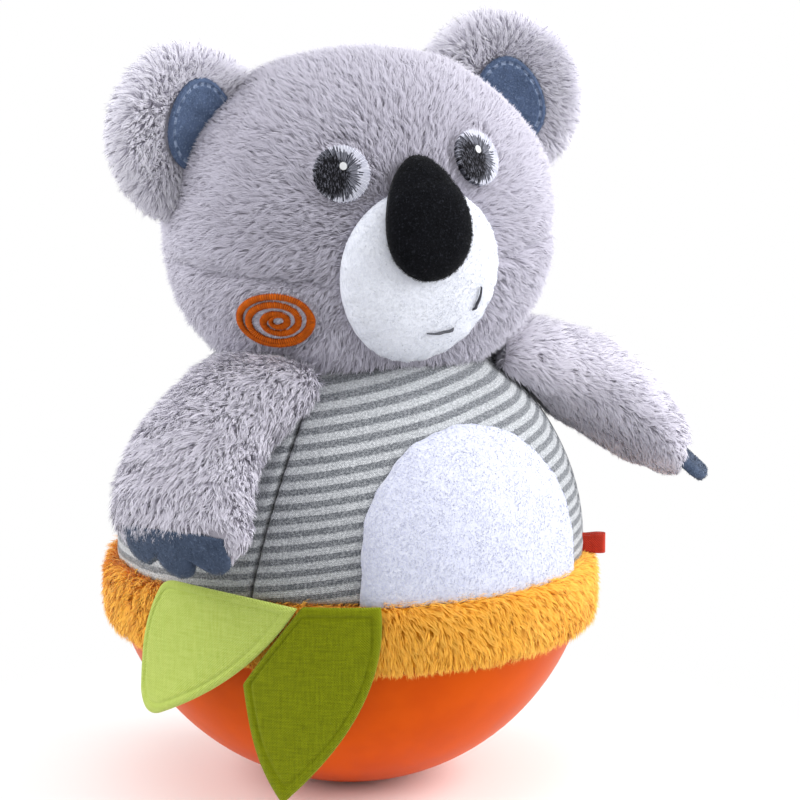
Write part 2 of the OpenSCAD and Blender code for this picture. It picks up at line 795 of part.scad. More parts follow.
module light_leaf() color("#bccb6f") leaf(light_leaf_shares);

module dark_leaf() color("#75801c") leaf(dark_leaf_shares);

// A bare folded ribbon in the cover's side seam
module ribbon_tag() color("#c2301c") {
    rotate(panel_half - 90) translate([jersey_r + seam_gap, -tag_t / 2, tag_z - tag_w / 2]) {
        cube([tag_l - tag_t / 2, tag_t, tag_w]);
        translate([tag_l - tag_t / 2, tag_t / 2, 0]) cylinder(d = tag_t, h = tag_w);
    }
}

base_bowl();
ballast_weight();
weight_screw();
chime_holder();
tone_bars();
clapper_link();
clapper();
base_lid();
lid_screws();
cover_tie();
plush_band();
body_stuffing();
front_panel();
back_panel();
tummy_patch();
head();
muzzle();
nose();
right_eye();
left_eye();
smile_stitches();
cheek_swirl();
right_ear();
left_ear();
right_ear_lining();
left_ear_lining();
right_arm();
left_arm();
right_claws();
left_claws();
light_leaf();
dark_leaf();
ribbon_tag();
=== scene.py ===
"""Finished look of a roly-poly koala: furred, sewn and stuffed pieces on a weighted orange bowl.

Sizes are in millimetres in the toy's own frame and become metres when a mesh is made. The origin is the
middle of the flat that the bowl rests on, +Z is up, the body's front faces -Y and the toy's left is +X.
Angles around the toy start straight ahead and grow towards its left.
"""

from __future__ import annotations

import json
import logging
import math
from dataclasses import dataclass, replace
from enum import Enum, IntEnum
from typing import Callable, ClassVar

import bmesh
import bpy
import numpy as np
from mathutils import Matrix, Vector
from mathutils.kdtree import KDTree

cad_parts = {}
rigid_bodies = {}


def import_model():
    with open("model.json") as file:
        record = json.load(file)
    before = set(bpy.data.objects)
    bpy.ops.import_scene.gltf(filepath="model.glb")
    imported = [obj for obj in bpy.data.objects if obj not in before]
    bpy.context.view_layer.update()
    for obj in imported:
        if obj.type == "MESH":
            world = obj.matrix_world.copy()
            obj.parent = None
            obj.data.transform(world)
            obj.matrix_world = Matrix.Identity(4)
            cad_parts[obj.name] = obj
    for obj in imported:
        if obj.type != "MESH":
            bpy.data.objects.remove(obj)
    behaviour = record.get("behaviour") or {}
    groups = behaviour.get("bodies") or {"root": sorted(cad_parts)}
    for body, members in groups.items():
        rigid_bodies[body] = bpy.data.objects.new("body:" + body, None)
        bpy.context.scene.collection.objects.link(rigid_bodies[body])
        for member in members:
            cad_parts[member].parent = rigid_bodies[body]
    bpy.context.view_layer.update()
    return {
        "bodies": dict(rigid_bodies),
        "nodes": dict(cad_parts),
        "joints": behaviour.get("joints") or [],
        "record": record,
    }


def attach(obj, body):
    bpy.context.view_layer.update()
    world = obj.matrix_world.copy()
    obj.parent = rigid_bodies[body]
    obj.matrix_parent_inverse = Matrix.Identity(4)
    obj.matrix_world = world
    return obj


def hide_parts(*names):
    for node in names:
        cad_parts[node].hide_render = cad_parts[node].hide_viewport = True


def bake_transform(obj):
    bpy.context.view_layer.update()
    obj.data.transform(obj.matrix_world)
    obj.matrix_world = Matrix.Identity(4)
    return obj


Points = np.ndarray
Socket = bpy.types.NodeSocket
Form = bmesh.types.BMesh
Piece = bpy.types.Object
Rule = Callable[[Points], Points]
Place = Callable[[Points, Points], Points]
MM = 0.001
FAR_OFF = 9.0
PAD_RIM = 0.56
PAD_TOP = 0.62
LOG = logging.getLogger("koala")


# Small sums


def unit(v: Points) -> Points:
    """Vectors, in the last axis, scaled to length one."""
    return v / np.maximum(np.linalg.norm(v, axis=-1, keepdims=True), 1e-9)


def ease(low: float, high: float, x: Points) -> Points:
    """A smooth rise from 0 to 1 while values go from low to high."""
    t = np.clip((x - low) / (high - low), 0.0, 1.0)
    return t * t * (3.0 - 2.0 * t)


def drift(points: Points, size: float, seed: int, waves: int = 9) -> Points:
    """A smooth random field.

    Args:
        points: Places in millimetres.
        size: Rough size of a swell.
        seed: Start of the random numbers.
        waves: Plane waves added together.

    Returns:
        Values of about -1 to 1, one for each place.
    """
    rng = np.random.default_rng(seed)
    ways = unit(rng.normal(size=(waves, 3))) * (2 * math.pi / size) * rng.uniform(0.7, 1.3, (waves, 1))
    starts = rng.uniform(0, 2 * math.pi, waves)
    return np.sin(points @ ways.T + starts).sum(axis=1) / math.sqrt(waves / 2) / 1.6


def curve_through(keys: Points, t: Points) -> Points:
    """Points on a smooth curve through key points.

    Args:
        keys: The key points, one in each row.
        t: Places along the curve, from 0 to the number of keys less one.

    Returns:
        One point for each place.
    """
    last = len(keys) - 1
    i = np.clip(np.floor(t).astype(int), 0, last - 1)
    f = (t - i)[:, None]
    a, b, c, d = (keys[np.clip(i + k, 0, last)] for k in (-1, 0, 1, 2))
    return 0.5 * (2 * b + (c - a) * f + (2 * a - 5 * b + 4 * c - d) * f**2 + (3 * b - a - 3 * c + d) * f**3)


def bent(keys: Points, t: Points) -> Points:
    """Points at shares t of a curve from the first to the last of three keys, drawn to the middle one."""
    t = t[:, None]
    return keys[0] * (1 - t) ** 2 + keys[1] * 2 * t * (1 - t) + keys[2] * t * t


def thin_pad(share: Points, thick: float, edge: float) -> tuple[Points, Points]:
    """A thin pad's section from the middle of its top to the middle of its underside.

    Args:
        share: Shares along the section.
        thick: The pad's thickness.
        edge: How little its rounding reaches in.

    Returns:
        Distances out as shares of the outline's, and heights.
    """
    top = share < PAD_TOP
    turn = np.clip((share - 0.5) / 0.12, 0, 1)
    out = np.where(top, np.sin(np.clip(share / PAD_RIM, 0, 1) * math.pi / 2), (1 - share) / 0.38)
    crown = np.clip(1 - out ** (2 * edge + 8), 0, 1) ** 0.5
    tall = np.where(top, thick * (0.25 + 0.75 * crown) * (1 - 0.5 * turn), 0.0)
    return np.clip(out, 0, 1), tall


def turned(axis: str, degrees: float) -> Points:
    """The 3 x 3 matrix of a turn about the axis X, Y or Z."""
    return np.array(Matrix.Rotation(math.radians(degrees), 3, axis))


def straight(*way: float) -> Place:
    """A flow of strands that lie the same way everywhere."""
    return lambda p, n: np.array(way) + 0 * p


def reach_of(inside: Place, middle: tuple[float, float], angles: Points) -> Points:
    """How far a plane outline lies from a middle point, in many directions.

    Args:
        inside: Says whether plane places are inside the outline.
        middle: The middle point.
        angles: Directions in radians.

    Returns:
        A distance for each direction.
    """
    farthest, step = 60.0, 0.05
    steps = np.linspace(0, farthest, round(farthest / step) + 1)
    x = middle[0] + np.cos(angles)[:, None] * steps
    y = middle[1] + np.sin(angles)[:, None] * steps
    return steps[np.argmin(inside(x, y), axis=1) - 1]


def egg(width: float, height: float, share: float, angle: Points) -> tuple[Points, Points]:
    """Places across and up an egg's outline at angles; its top is narrower where share is above zero."""
    return width / 2 * np.cos(angle) * (1 - share * np.sin(angle)), height / 2 * np.sin(angle)


def paint(code: str) -> tuple[float, float, float, float]:
    """A screen colour as the renderer's linear one.

    Args:
        code: Six hexadecimal digits.

    Returns:
        Red, green, blue and a full alpha.
    """
    parts = [int(code[i:i + 2], 16) / 255 for i in (0, 2, 4)]
    linear = [c / 12.92 if c <= 0.04045 else ((c + 0.055) / 1.055) ** 2.4 for c in parts]
    return (*linear, 1.0)


# Choices by name


class Side(IntEnum):
    """The toy's own right and left, as they count along +X."""

    RIGHT = -1
    LEFT = 1

    @property
    def word(self) -> str:
        """The side's name, as the nodes have it."""
        return self.name.lower()


class Effect(Enum):
    """Shader effects that several finishes share."""

    FIBRES = "fibre_mottle"
    KNIT = "knit_rows"
    WEAVE = "woven_threads"
    GRAIN = "moulded_grain"
    BRUSH = "brushed_metal"
    STRAND = "strand_tint"
    SATIN = "satin_stitch"


# Shader work


@dataclass
class Wiring:
    """Adds and joins the nodes of one node tree."""

    tree: bpy.types.NodeTree

    def add(self, kind: str, joins: dict | None = None, **settings: object) -> bpy.types.Node:
        """Adds a node.

        Args:
            kind: The node's type.
            joins: Values or outputs for its inputs, by name or number.
            settings: Properties to set on it.

        Returns:
            The node.
        """
        node = self.tree.nodes.new(kind)
        for name, value in settings.items():
            setattr(node, name, value)
        self.join(node, joins or {})
        return node

    def join(self, node: bpy.types.Node, joins: dict) -> None:
        """Gives a node's inputs, by name or number, their values or outputs."""
        for key, value in joins.items():
            if isinstance(value, Socket):
                self.tree.links.new(value, node.inputs[key])
            else:
                node.inputs[key].default_value = value

    def sum(self, operation: str, *values: object) -> Socket:
        """The output of one sum, by its name, of numbers or outputs."""
        return self.add("ShaderNodeMath", dict(enumerate(values)), operation=operation).outputs[0]

    def noise(self, place: Socket, scale: float, detail: float = 2.0) -> Socket:
        """Smooth noise of about 0 to 1 at a place, with so many swells to the metre or unit."""
        joins = {"Vector": place, "Scale": scale, "Detail": detail, "Roughness": 0.6}
        return self.add("ShaderNodeTexNoise", joins).outputs["Fac"]

    def spread(self, value: Socket, low: float, high: float) -> Socket:
        """A value carried from low..high to 0..1 with soft ends."""
        joins = {"Value": value, "From Min": low, "From Max": high, "To Min": 0.0, "To Max": 1.0}
        return self.add("ShaderNodeMapRange", joins, interpolation_type="SMOOTHSTEP").outputs["Result"]

    def blend(self, share: object, first: object, second: object) -> Socket:
        """A mix of two colours or outputs, with so much of the second one."""
        return self.add("ShaderNodeMix", {0: share, 6: first, 7: second}, data_type="RGBA").outputs[2]

    def part(self, vector: Socket) -> list[Socket]:
        """The X, Y and Z outputs of a vector."""
        return list(self.add("ShaderNodeSeparateXYZ", {0: vector}).outputs)

    def away(self, x: Socket, y: Socket) -> Socket:
        """How far a place in a plane is from the middle."""
        return self.sum("SQRT", self.sum("ADD", self.sum("MULTIPLY", x, x), self.sum("MULTIPLY", y, y)))

    def stretched(self, place: Socket, *shares: float) -> Socket:
        """A place with each of its parts multiplied by a share."""
        return self.add("ShaderNodeVectorMath", {0: place, 1: shares}, operation="MULTIPLY").outputs[0]


class EffectShelf:
    """Makes each shared effect once, as a node group that gives only values that vary."""

    STRIPE_PITCH = 3.0
    STRIPE_TILT = 9.0
    STRIPE_WAY = 165.0
    LOOP_PITCH = 0.5
    WALES = 330.0
    THREAD_PITCH = 0.62
    STITCH_PITCH = 0.42

    def __init__(self) -> None:
        """Starts with an empty shelf."""
        self.made: dict[Effect, bpy.types.NodeTree] = {}

    def group(self, effect: Effect) -> bpy.types.NodeTree:
        """The node group of an effect.

        Args:
            effect: Which effect.

        Returns:
            Its node group, made on first use.
        """
        if effect not in self.made:
            tree = bpy.data.node_groups.new(effect.value, "ShaderNodeTree")
            tree.interface.new_socket("Place", in_out="INPUT", socket_type="NodeSocketVector")
            self.made[effect] = tree
            wiring = Wiring(tree)
            place = wiring.add("NodeGroupInput").outputs[0]
            results = getattr(self, effect.name.lower())(wiring, place)
            for name in results:
                tree.interface.new_socket(name, in_out="OUTPUT", socket_type="NodeSocketFloat")
            wiring.add("NodeGroupOutput", results)
        return self.made[effect]

    def fibres(self, w: Wiring, place: Socket) -> dict[str, Socket]:
        """Matted fibres: a broad mottle, fine specks and a rough height."""
        broad, fine = w.noise(place, 220.0, 2.0), w.noise(place, 1700.0, 4.0)
        return {"Mottle": w.spread(broad, 0.3, 0.7), "Speck": w.spread(fine, 0.52, 0.74), "Height": fine}

    def knit(self, w: Wiring, place: Socket) -> dict[str, Socket]:
        """Striped jersey: a stripe share, heather specks and the height of its loops."""
        tilt, way = math.radians(self.STRIPE_TILT), math.radians(self.STRIPE_WAY)
        up = (math.sin(tilt) * math.cos(way), math.sin(tilt) * math.sin(way), math.cos(tilt))
        height = w.add("ShaderNodeVectorMath", {0: place, 1: up}, operation="DOT_PRODUCT").outputs["Value"]
        wander = w.sum("MULTIPLY", w.sum("SUBTRACT", w.noise(place, 1500.0, 3.0), 0.5), 0.00075)
        row = w.sum("DIVIDE", w.sum("ADD", height, wander), self.STRIPE_PITCH * MM)
        wave = w.sum("SINE", w.sum("MULTIPLY", row, 2 * math.pi))
        x, y, _ = w.part(place)
        wale = w.sum("ABSOLUTE", w.sum("SINE", w.sum("MULTIPLY", w.sum("ARCTAN2", y, x), self.WALES)))
        loop = w.sum("SINE", w.sum("ADD", w.sum("MULTIPLY", height, 2 * math.pi / (self.LOOP_PITCH * MM)),
                                   w.sum("MULTIPLY", wale, 2.6)))
        specks = w.noise(place, 2300.0, 3.0)
        return {"Stripe": w.spread(wave, -0.45, 0.45), "Heather": w.spread(specks, 0.38, 0.64),
                "Height": w.sum("ADD", w.sum("MULTIPLY", loop, 0.35), specks)}

    def weave(self, w: Wiring, place: Socket) -> dict[str, Socket]:
        """Plain weave over a flat map in millimetres: the threads' height and an uneven tint."""
        x, y, _ = w.part(place)
        across, along = (w.sum("SINE", w.sum("MULTIPLY", v, 2 * math.pi / self.THREAD_PITCH)) for v in (x, y))
        runs = [w.stretched(place, *way) for way in ((0.2, 1.9, 0.0), (1.9, 0.2, 0.0))]
        slub = w.sum("MULTIPLY", w.sum("ADD", *(w.noise(run, 1.0, 2.0) for run in runs)), 0.5)
        return {"Height": w.sum("ADD", w.sum("MULTIPLY", across, along), w.sum("MULTIPLY", slub, 0.6)),
                "Tint": w.spread(slub, 0.2, 0.8)}

    def grain(self, w: Wiring, place: Socket) -> dict[str, Socket]:
        """Moulded plastic: a fine satin grain and a slow change of gloss."""
        slow = w.noise(place, 60.0, 3.0)
        return {"Height": w.noise(place, 3000.0, 2.0), "Gloss": w.spread(slow, 0.3, 0.7)}

    def brush(self, w: Wiring, place: Socket) -> dict[str, Socket]:
        """Worked metal: drawn lines and a slow tarnish."""
        drawn, slow = w.stretched(place, 1.0, 1.0, 0.05), w.noise(place, 240.0, 4.0)
        return {"Height": w.noise(drawn, 6000.0, 2.0), "Tarnish": w.spread(slow, 0.35, 0.7)}

    def strand(self, w: Wiring, place: Socket) -> dict[str, Socket]:
        """A strand's own map: how far along it is and its tint."""
        x, y, _ = w.part(place)
        return {"Tint": x, "Along": y}

    def satin(self, w: Wiring, place: Socket) -> dict[str, Socket]:
        """Threads laid side by side across a band: each thread's own tint and roundness."""
        x, _, _ = w.part(place)
        count = w.sum("MULTIPLY", x, 1 / self.STITCH_PITCH)
        number = w.sum("FLOOR", count)
        tint = w.add("ShaderNodeTexWhiteNoise", {"W": number}, noise_dimensions="1D").outputs["Value"]
        return {"Tint": tint, "Height": w.sum("ABSOLUTE", w.sum("SINE", w.sum("MULTIPLY", count, math.pi)))}


@dataclass(frozen=True)
class Finish:
    """What every finish has: a name, plain shader values and an effect that varies over the piece."""

    name: str
    rough: float = 0.9
    sheen: float = 0.0
    gloss: float = 0.2

    EFFECT: ClassVar[Effect | None] = None
    CHART: ClassVar[str] = ""
    SHEEN_ROUGH: ClassVar[float] = 0.45
    RAISE_SHARE: ClassVar[float] = 0.7

    def make(self, shelf: EffectShelf) -> bpy.types.Material:
        """Makes the finish's material.

        Args:
            shelf: The shared effects.

        Returns:
            The material.
        """
        material = bpy.data.materials.new(self.name)
        material.use_nodes = True
        w = Wiring(material.node_tree)
        plain = {"Roughness": self.rough, "Specular IOR Level": self.gloss, "Sheen Weight": self.sheen,
                 "Sheen Roughness": self.SHEEN_ROUGH}
        outs: dict[str, Socket] = {}
        if self.EFFECT:
            joins = {0: self.own_place(w, self.CHART)}
            outs = w.add("ShaderNodeGroup", joins, node_tree=shelf.group(self.EFFECT)).outputs
        w.join(material.node_tree.nodes["Principled BSDF"], {**plain, **self.wire(w, outs)})
        return material

    def wire(self, w: Wiring, outs: dict[str, Socket]) -> dict[str, object]:
        """Wires what varies over the piece.

        Args:
            w: The material's wiring.
            outs: The outputs of the finish's effect.

        Returns:
            Values and outputs for the shader's inputs, by name.
        """
        raise NotImplementedError

    @staticmethod
    def own_place(w: Wiring, chart: str) -> Socket:
        """The place on one of the piece's charts or, without a chart, in its own coordinates."""
        if chart:
            return w.add("ShaderNodeUVMap", uv_map=chart).outputs[0]
        return w.add("ShaderNodeTexCoord").outputs["Object"]

    def raised(self, w: Wiring, height: Socket, depth: float) -> Socket:
        """The surface's direction over a raised pattern that is so many millimetres deep."""
        joins = {"Height": height, "Strength": self.RAISE_SHARE, "Distance": depth * MM}
        return w.add("ShaderNodeBump", joins).outputs[0]


@dataclass(frozen=True)
class PileFinish(Finish):
    """Strands lighter at their tips and darker at their roots, where the dark is painted shade deep in the
    pile.
    """

    root: str = "808080"
    tip: str = "c0c0c0"
    dark: str = "909090"

    EFFECT = Effect.STRAND
    CHART = "OFBake"
    FADE_POWER: ClassVar[float] = 0.75

    def wire(self, w: Wiring, outs: dict[str, Socket]) -> dict[str, object]:
        """The strands' colour from the base, darkened as painted shade, to the tip."""
        tips = w.blend(outs["Tint"], paint(self.dark), paint(self.tip))
        # painted shade: each strand darkens towards its base, where shade falls deep in the pile
        along = w.sum("POWER", outs["Along"], self.FADE_POWER)
        return {"Base Color": w.blend(along, paint(self.root), tips)}


@dataclass(frozen=True)
class FeltFinish(Finish):
    """Matted fibres, for felt, velour and the backing of a pile."""

    rough: float = 0.95
    main: str = "808080"
    speck: str = "a0a0a0"
    mottle: str = "707070"
    depth: float = 0.25

    EFFECT = Effect.FIBRES

    def wire(self, w: Wiring, outs: dict[str, Socket]) -> dict[str, object]:
        """The cloth's mottled colour and its fibres."""
        ground = w.blend(outs["Mottle"], paint(self.mottle), paint(self.main))
        return {"Base Color": w.blend(outs["Speck"], ground, paint(self.speck)),
                "Normal": self.raised(w, outs["Height"], self.depth)}


@dataclass(frozen=True)
class StitchedFinish(FeltFinish):
    """Felt with a dashed line of stitches inside its edge."""

    thread: str = "a0a0a0"
    line_share: float = 0.86
    line_half: float = 0.05
    stitches: int = 22

    def wire(self, w: Wiring, outs: dict[str, Socket]) -> dict[str, object]:
        """The felt, and the thread on it."""
        felt = super().wire(w, outs)
        x, y, _ = w.part(self.own_place(w, "Cloth"))
        aside = w.sum("ABSOLUTE", w.sum("SUBTRACT", w.away(x, y), self.line_share))
        line = w.spread(aside, self.line_half, self.line_half / 2)
        turn = w.sum("MULTIPLY", w.sum("ARCTAN2", y, x), float(self.stitches))
        dash = w.spread(w.sum("SINE", turn), -0.5, -0.1)
        felt["Base Color"] = w.blend(w.sum("MULTIPLY", line, dash), felt["Base Color"], paint(self.thread))
        return felt


@dataclass(frozen=True)
class JerseyFinish(Finish):
    """Knitted stripes of white and heather grey."""

    pale: str = "cdd0d4"
    fleck: str = "9fa2a7"
    dark: str = "5c6066"
    mid: str = "96999e"
    depth: float = 0.22

    EFFECT = Effect.KNIT

    def wire(self, w: Wiring, outs: dict[str, Socket]) -> dict[str, object]:
        """The stripes and the loops."""
        heather = w.blend(outs["Heather"], paint(self.dark), paint(self.mid))
        flecked = w.blend(outs["Heather"], paint(self.fleck), paint(self.pale))
        return {"Base Color": w.blend(outs["Stripe"], heather, flecked),
                "Normal": self.raised(w, outs["Height"], self.depth)}


@dataclass(frozen=True)
class WovenFinish(Finish):
    """Plain woven cotton or ribbon."""

    main: str = "808080"
    deep: str = "606060"
    depth: float = 0.12

    EFFECT = Effect.WEAVE
    CHART = "Cloth"
    THREAD_SHARE: ClassVar[float] = 0.18

    def wire(self, w: Wiring, outs: dict[str, Socket]) -> dict[str, object]:
        """The threads' colour, with painted shade where the weave dips, and their height."""
        # painted shade: low parts of the weave lean to the deep colour; the slub tint is the yarn's own
        # unevenness
        shade = w.sum("MULTIPLY_ADD", outs["Height"], self.THREAD_SHARE, outs["Tint"])
        return {"Base Color": w.blend(shade, paint(self.deep), paint(self.main)),
                "Normal": self.raised(w, outs["Height"], self.depth)}


@dataclass(frozen=True)
class ThreadFinish(Finish):
    """Satin stitch: glossy threads laid side by side."""

    main: str = "808080"
    deep: str = "606060"
    depth: float = 0.15

    EFFECT = Effect.SATIN
    CHART = "Cloth"

    def wire(self, w: Wiring, outs: dict[str, Socket]) -> dict[str, object]:
        """The threads' own tints, and their roundness, which darkens their sides as painted shade between
        threads.
        """
        tint = w.sum("MULTIPLY_ADD", outs["Tint"], 0.5, 0.5)
        # painted shade: each thread's sides lean to the deep colour, where shade falls between threads
        share = w.sum("MULTIPLY", outs["Height"], tint)
        return {"Base Color": w.blend(share, paint(self.deep), paint(self.main)),
                "Normal": self.raised(w, outs["Height"], self.depth)}


@dataclass(frozen=True)
class EyeFinish(Finish):
    """An eye stitched outwards from its middle: a white ring, a grey ring, a dark pupil and a small light."""

    threads: int = 110
    # In the ring and the iris, the first colour lies between threads as painted shade.
    ring: tuple[str, str] = ("9a9cb0", "e4e5f0")
    iris: tuple[str, str] = ("2e2f38", "a0a2b0")
    pupil: tuple[str, str] = ("0b0b10", "63646f")
    light: str = "f4f5f8"
    depth: float = 0.14
    fray: float = 0.26

    def zone(self, w: Wiring, place: tuple[Socket, Socket], middle: tuple[float, float],
             half: tuple[float, float], fray: Socket, soft: float) -> Socket:
        """How far places are inside one round zone.

        Args:
            w: The material's wiring.
            place: Places across and up the eye, from -1 to 1.
            middle: The zone's middle.
            half: Its half width and half height.
            fray: A ragged amount for each thread.
            soft: How soft its edge is.

        Returns:
            1 inside and 0 outside.
        """
        own = [w.sum("DIVIDE", w.sum("SUBTRACT", p, m), h) for p, m, h in zip(place, middle, half)]
        return w.sum("SUBTRACT", 1.0, w.spread(w.sum("ADD", w.away(*own), fray), 1.0 - soft, 1.0 + soft))

    def wire(self, w: Wiring, outs: dict[str, Socket]) -> dict[str, object]:
        """The zones, frayed from thread to thread and from stitch to stitch, with painted shade between
        threads.

        Args:
            w: The material's wiring.
            outs: No outputs, because an eye has no shared effect.

        Returns:
            Values and outputs for the shader's inputs, by name.
        """
        x, y, _ = w.part(self.own_place(w, "Cloth"))
        turn = w.sum("MULTIPLY", w.sum("ARCTAN2", y, x), self.threads / (2 * math.pi))
        number = w.sum("FLOOR", turn)
        start = w.add("ShaderNodeTexWhiteNoise", {"W": number}, noise_dimensions="1D").outputs["Value"]
        step = w.sum("FLOOR", w.sum("MULTIPLY_ADD", w.away(x, y), 3.6, w.sum("MULTIPLY", start, 5.0)))
        cell = w.add("ShaderNodeCombineXYZ", {0: number, 1: step}).outputs[0]
        chance = w.add("ShaderNodeTexWhiteNoise", {"Vector": cell}, noise_dimensions="2D").outputs["Value"]
        fray = w.sum("MULTIPLY", w.sum("SUBTRACT", chance, 0.5), self.fray)
        thread = w.sum("ABSOLUTE", w.sum("SINE", w.sum("MULTIPLY", turn, math.pi)))
        iris = self.zone(w, (x, y), (-0.28, -0.02), (0.92, 0.9), fray, 0.05)
        pupil = self.zone(w, (x, y), (-0.36, -0.1), (0.66, 0.76), fray, 0.16)
        light = self.zone(w, (x, y), (0.05, 0.24), (0.13, 0.14), w.sum("MULTIPLY", fray, 0.3), 0.08)
        laid = w.add("ShaderNodeCombineXYZ", {0: w.sum("MULTIPLY", x, 3.0), 1: y}).outputs[0]
        # painted shade: the white and grey rings darken between threads; their random change from stitch to
        # stitch is the threads' own
        shares = (w.sum("MULTIPLY", thread, w.sum("MULTIPLY_ADD", chance, 0.6, 0.4)),
                  w.sum("MULTIPLY", thread, chance), w.spread(w.noise(laid, 6.5, 3.0), 0.48, 0.68))
        white, grey, black = (w.blend(share, *map(paint, pair))
                              for share, pair in zip(shares, (self.ring, self.iris, self.pupil)))
        colour = w.blend(pupil, w.blend(iris, white, grey), black)
        return {"Base Color": w.blend(light, colour, paint(self.light)),
                "Normal": self.raised(w, thread, self.depth)}


@dataclass(frozen=True)
class PlasticFinish(Finish):
    """Moulded plastic with a satin grain."""

    main: str = "808080"
    deep: str = "606060"
    depth: float = 0.015
    span: float = 0.06

    EFFECT = Effect.GRAIN

    def wire(self, w: Wiring, outs: dict[str, Socket]) -> dict[str, object]:
        """The moulding's slow changes and its grain."""
        return {"Base Color": w.blend(outs["Gloss"], paint(self.deep), paint(self.main)),
                "Roughness": w.sum("MULTIPLY_ADD", outs["Gloss"], self.span, self.rough - self.span / 2),
                "Normal": self.raised(w, outs["Height"], self.depth)}


@dataclass(frozen=True)
class MetalFinish(Finish):
    """Worked metal with drawn lines and a little tarnish."""

    main: str = "808080"
    deep: str = "606060"
    depth: float = 0.01
    span: float = 0.15

    EFFECT = Effect.BRUSH

    def wire(self, w: Wiring, outs: dict[str, Socket]) -> dict[str, object]:
        """The metal's tarnish and its drawn lines."""
        return {"Base Color": w.blend(outs["Tarnish"], paint(self.main), paint(self.deep)),
                "Roughness": w.sum("MULTIPLY_ADD", outs["Tarnish"], self.span, self.rough), "Metallic": 1.0,
                "Normal": self.raised(w, outs["Height"], self.depth)}


# Bench work


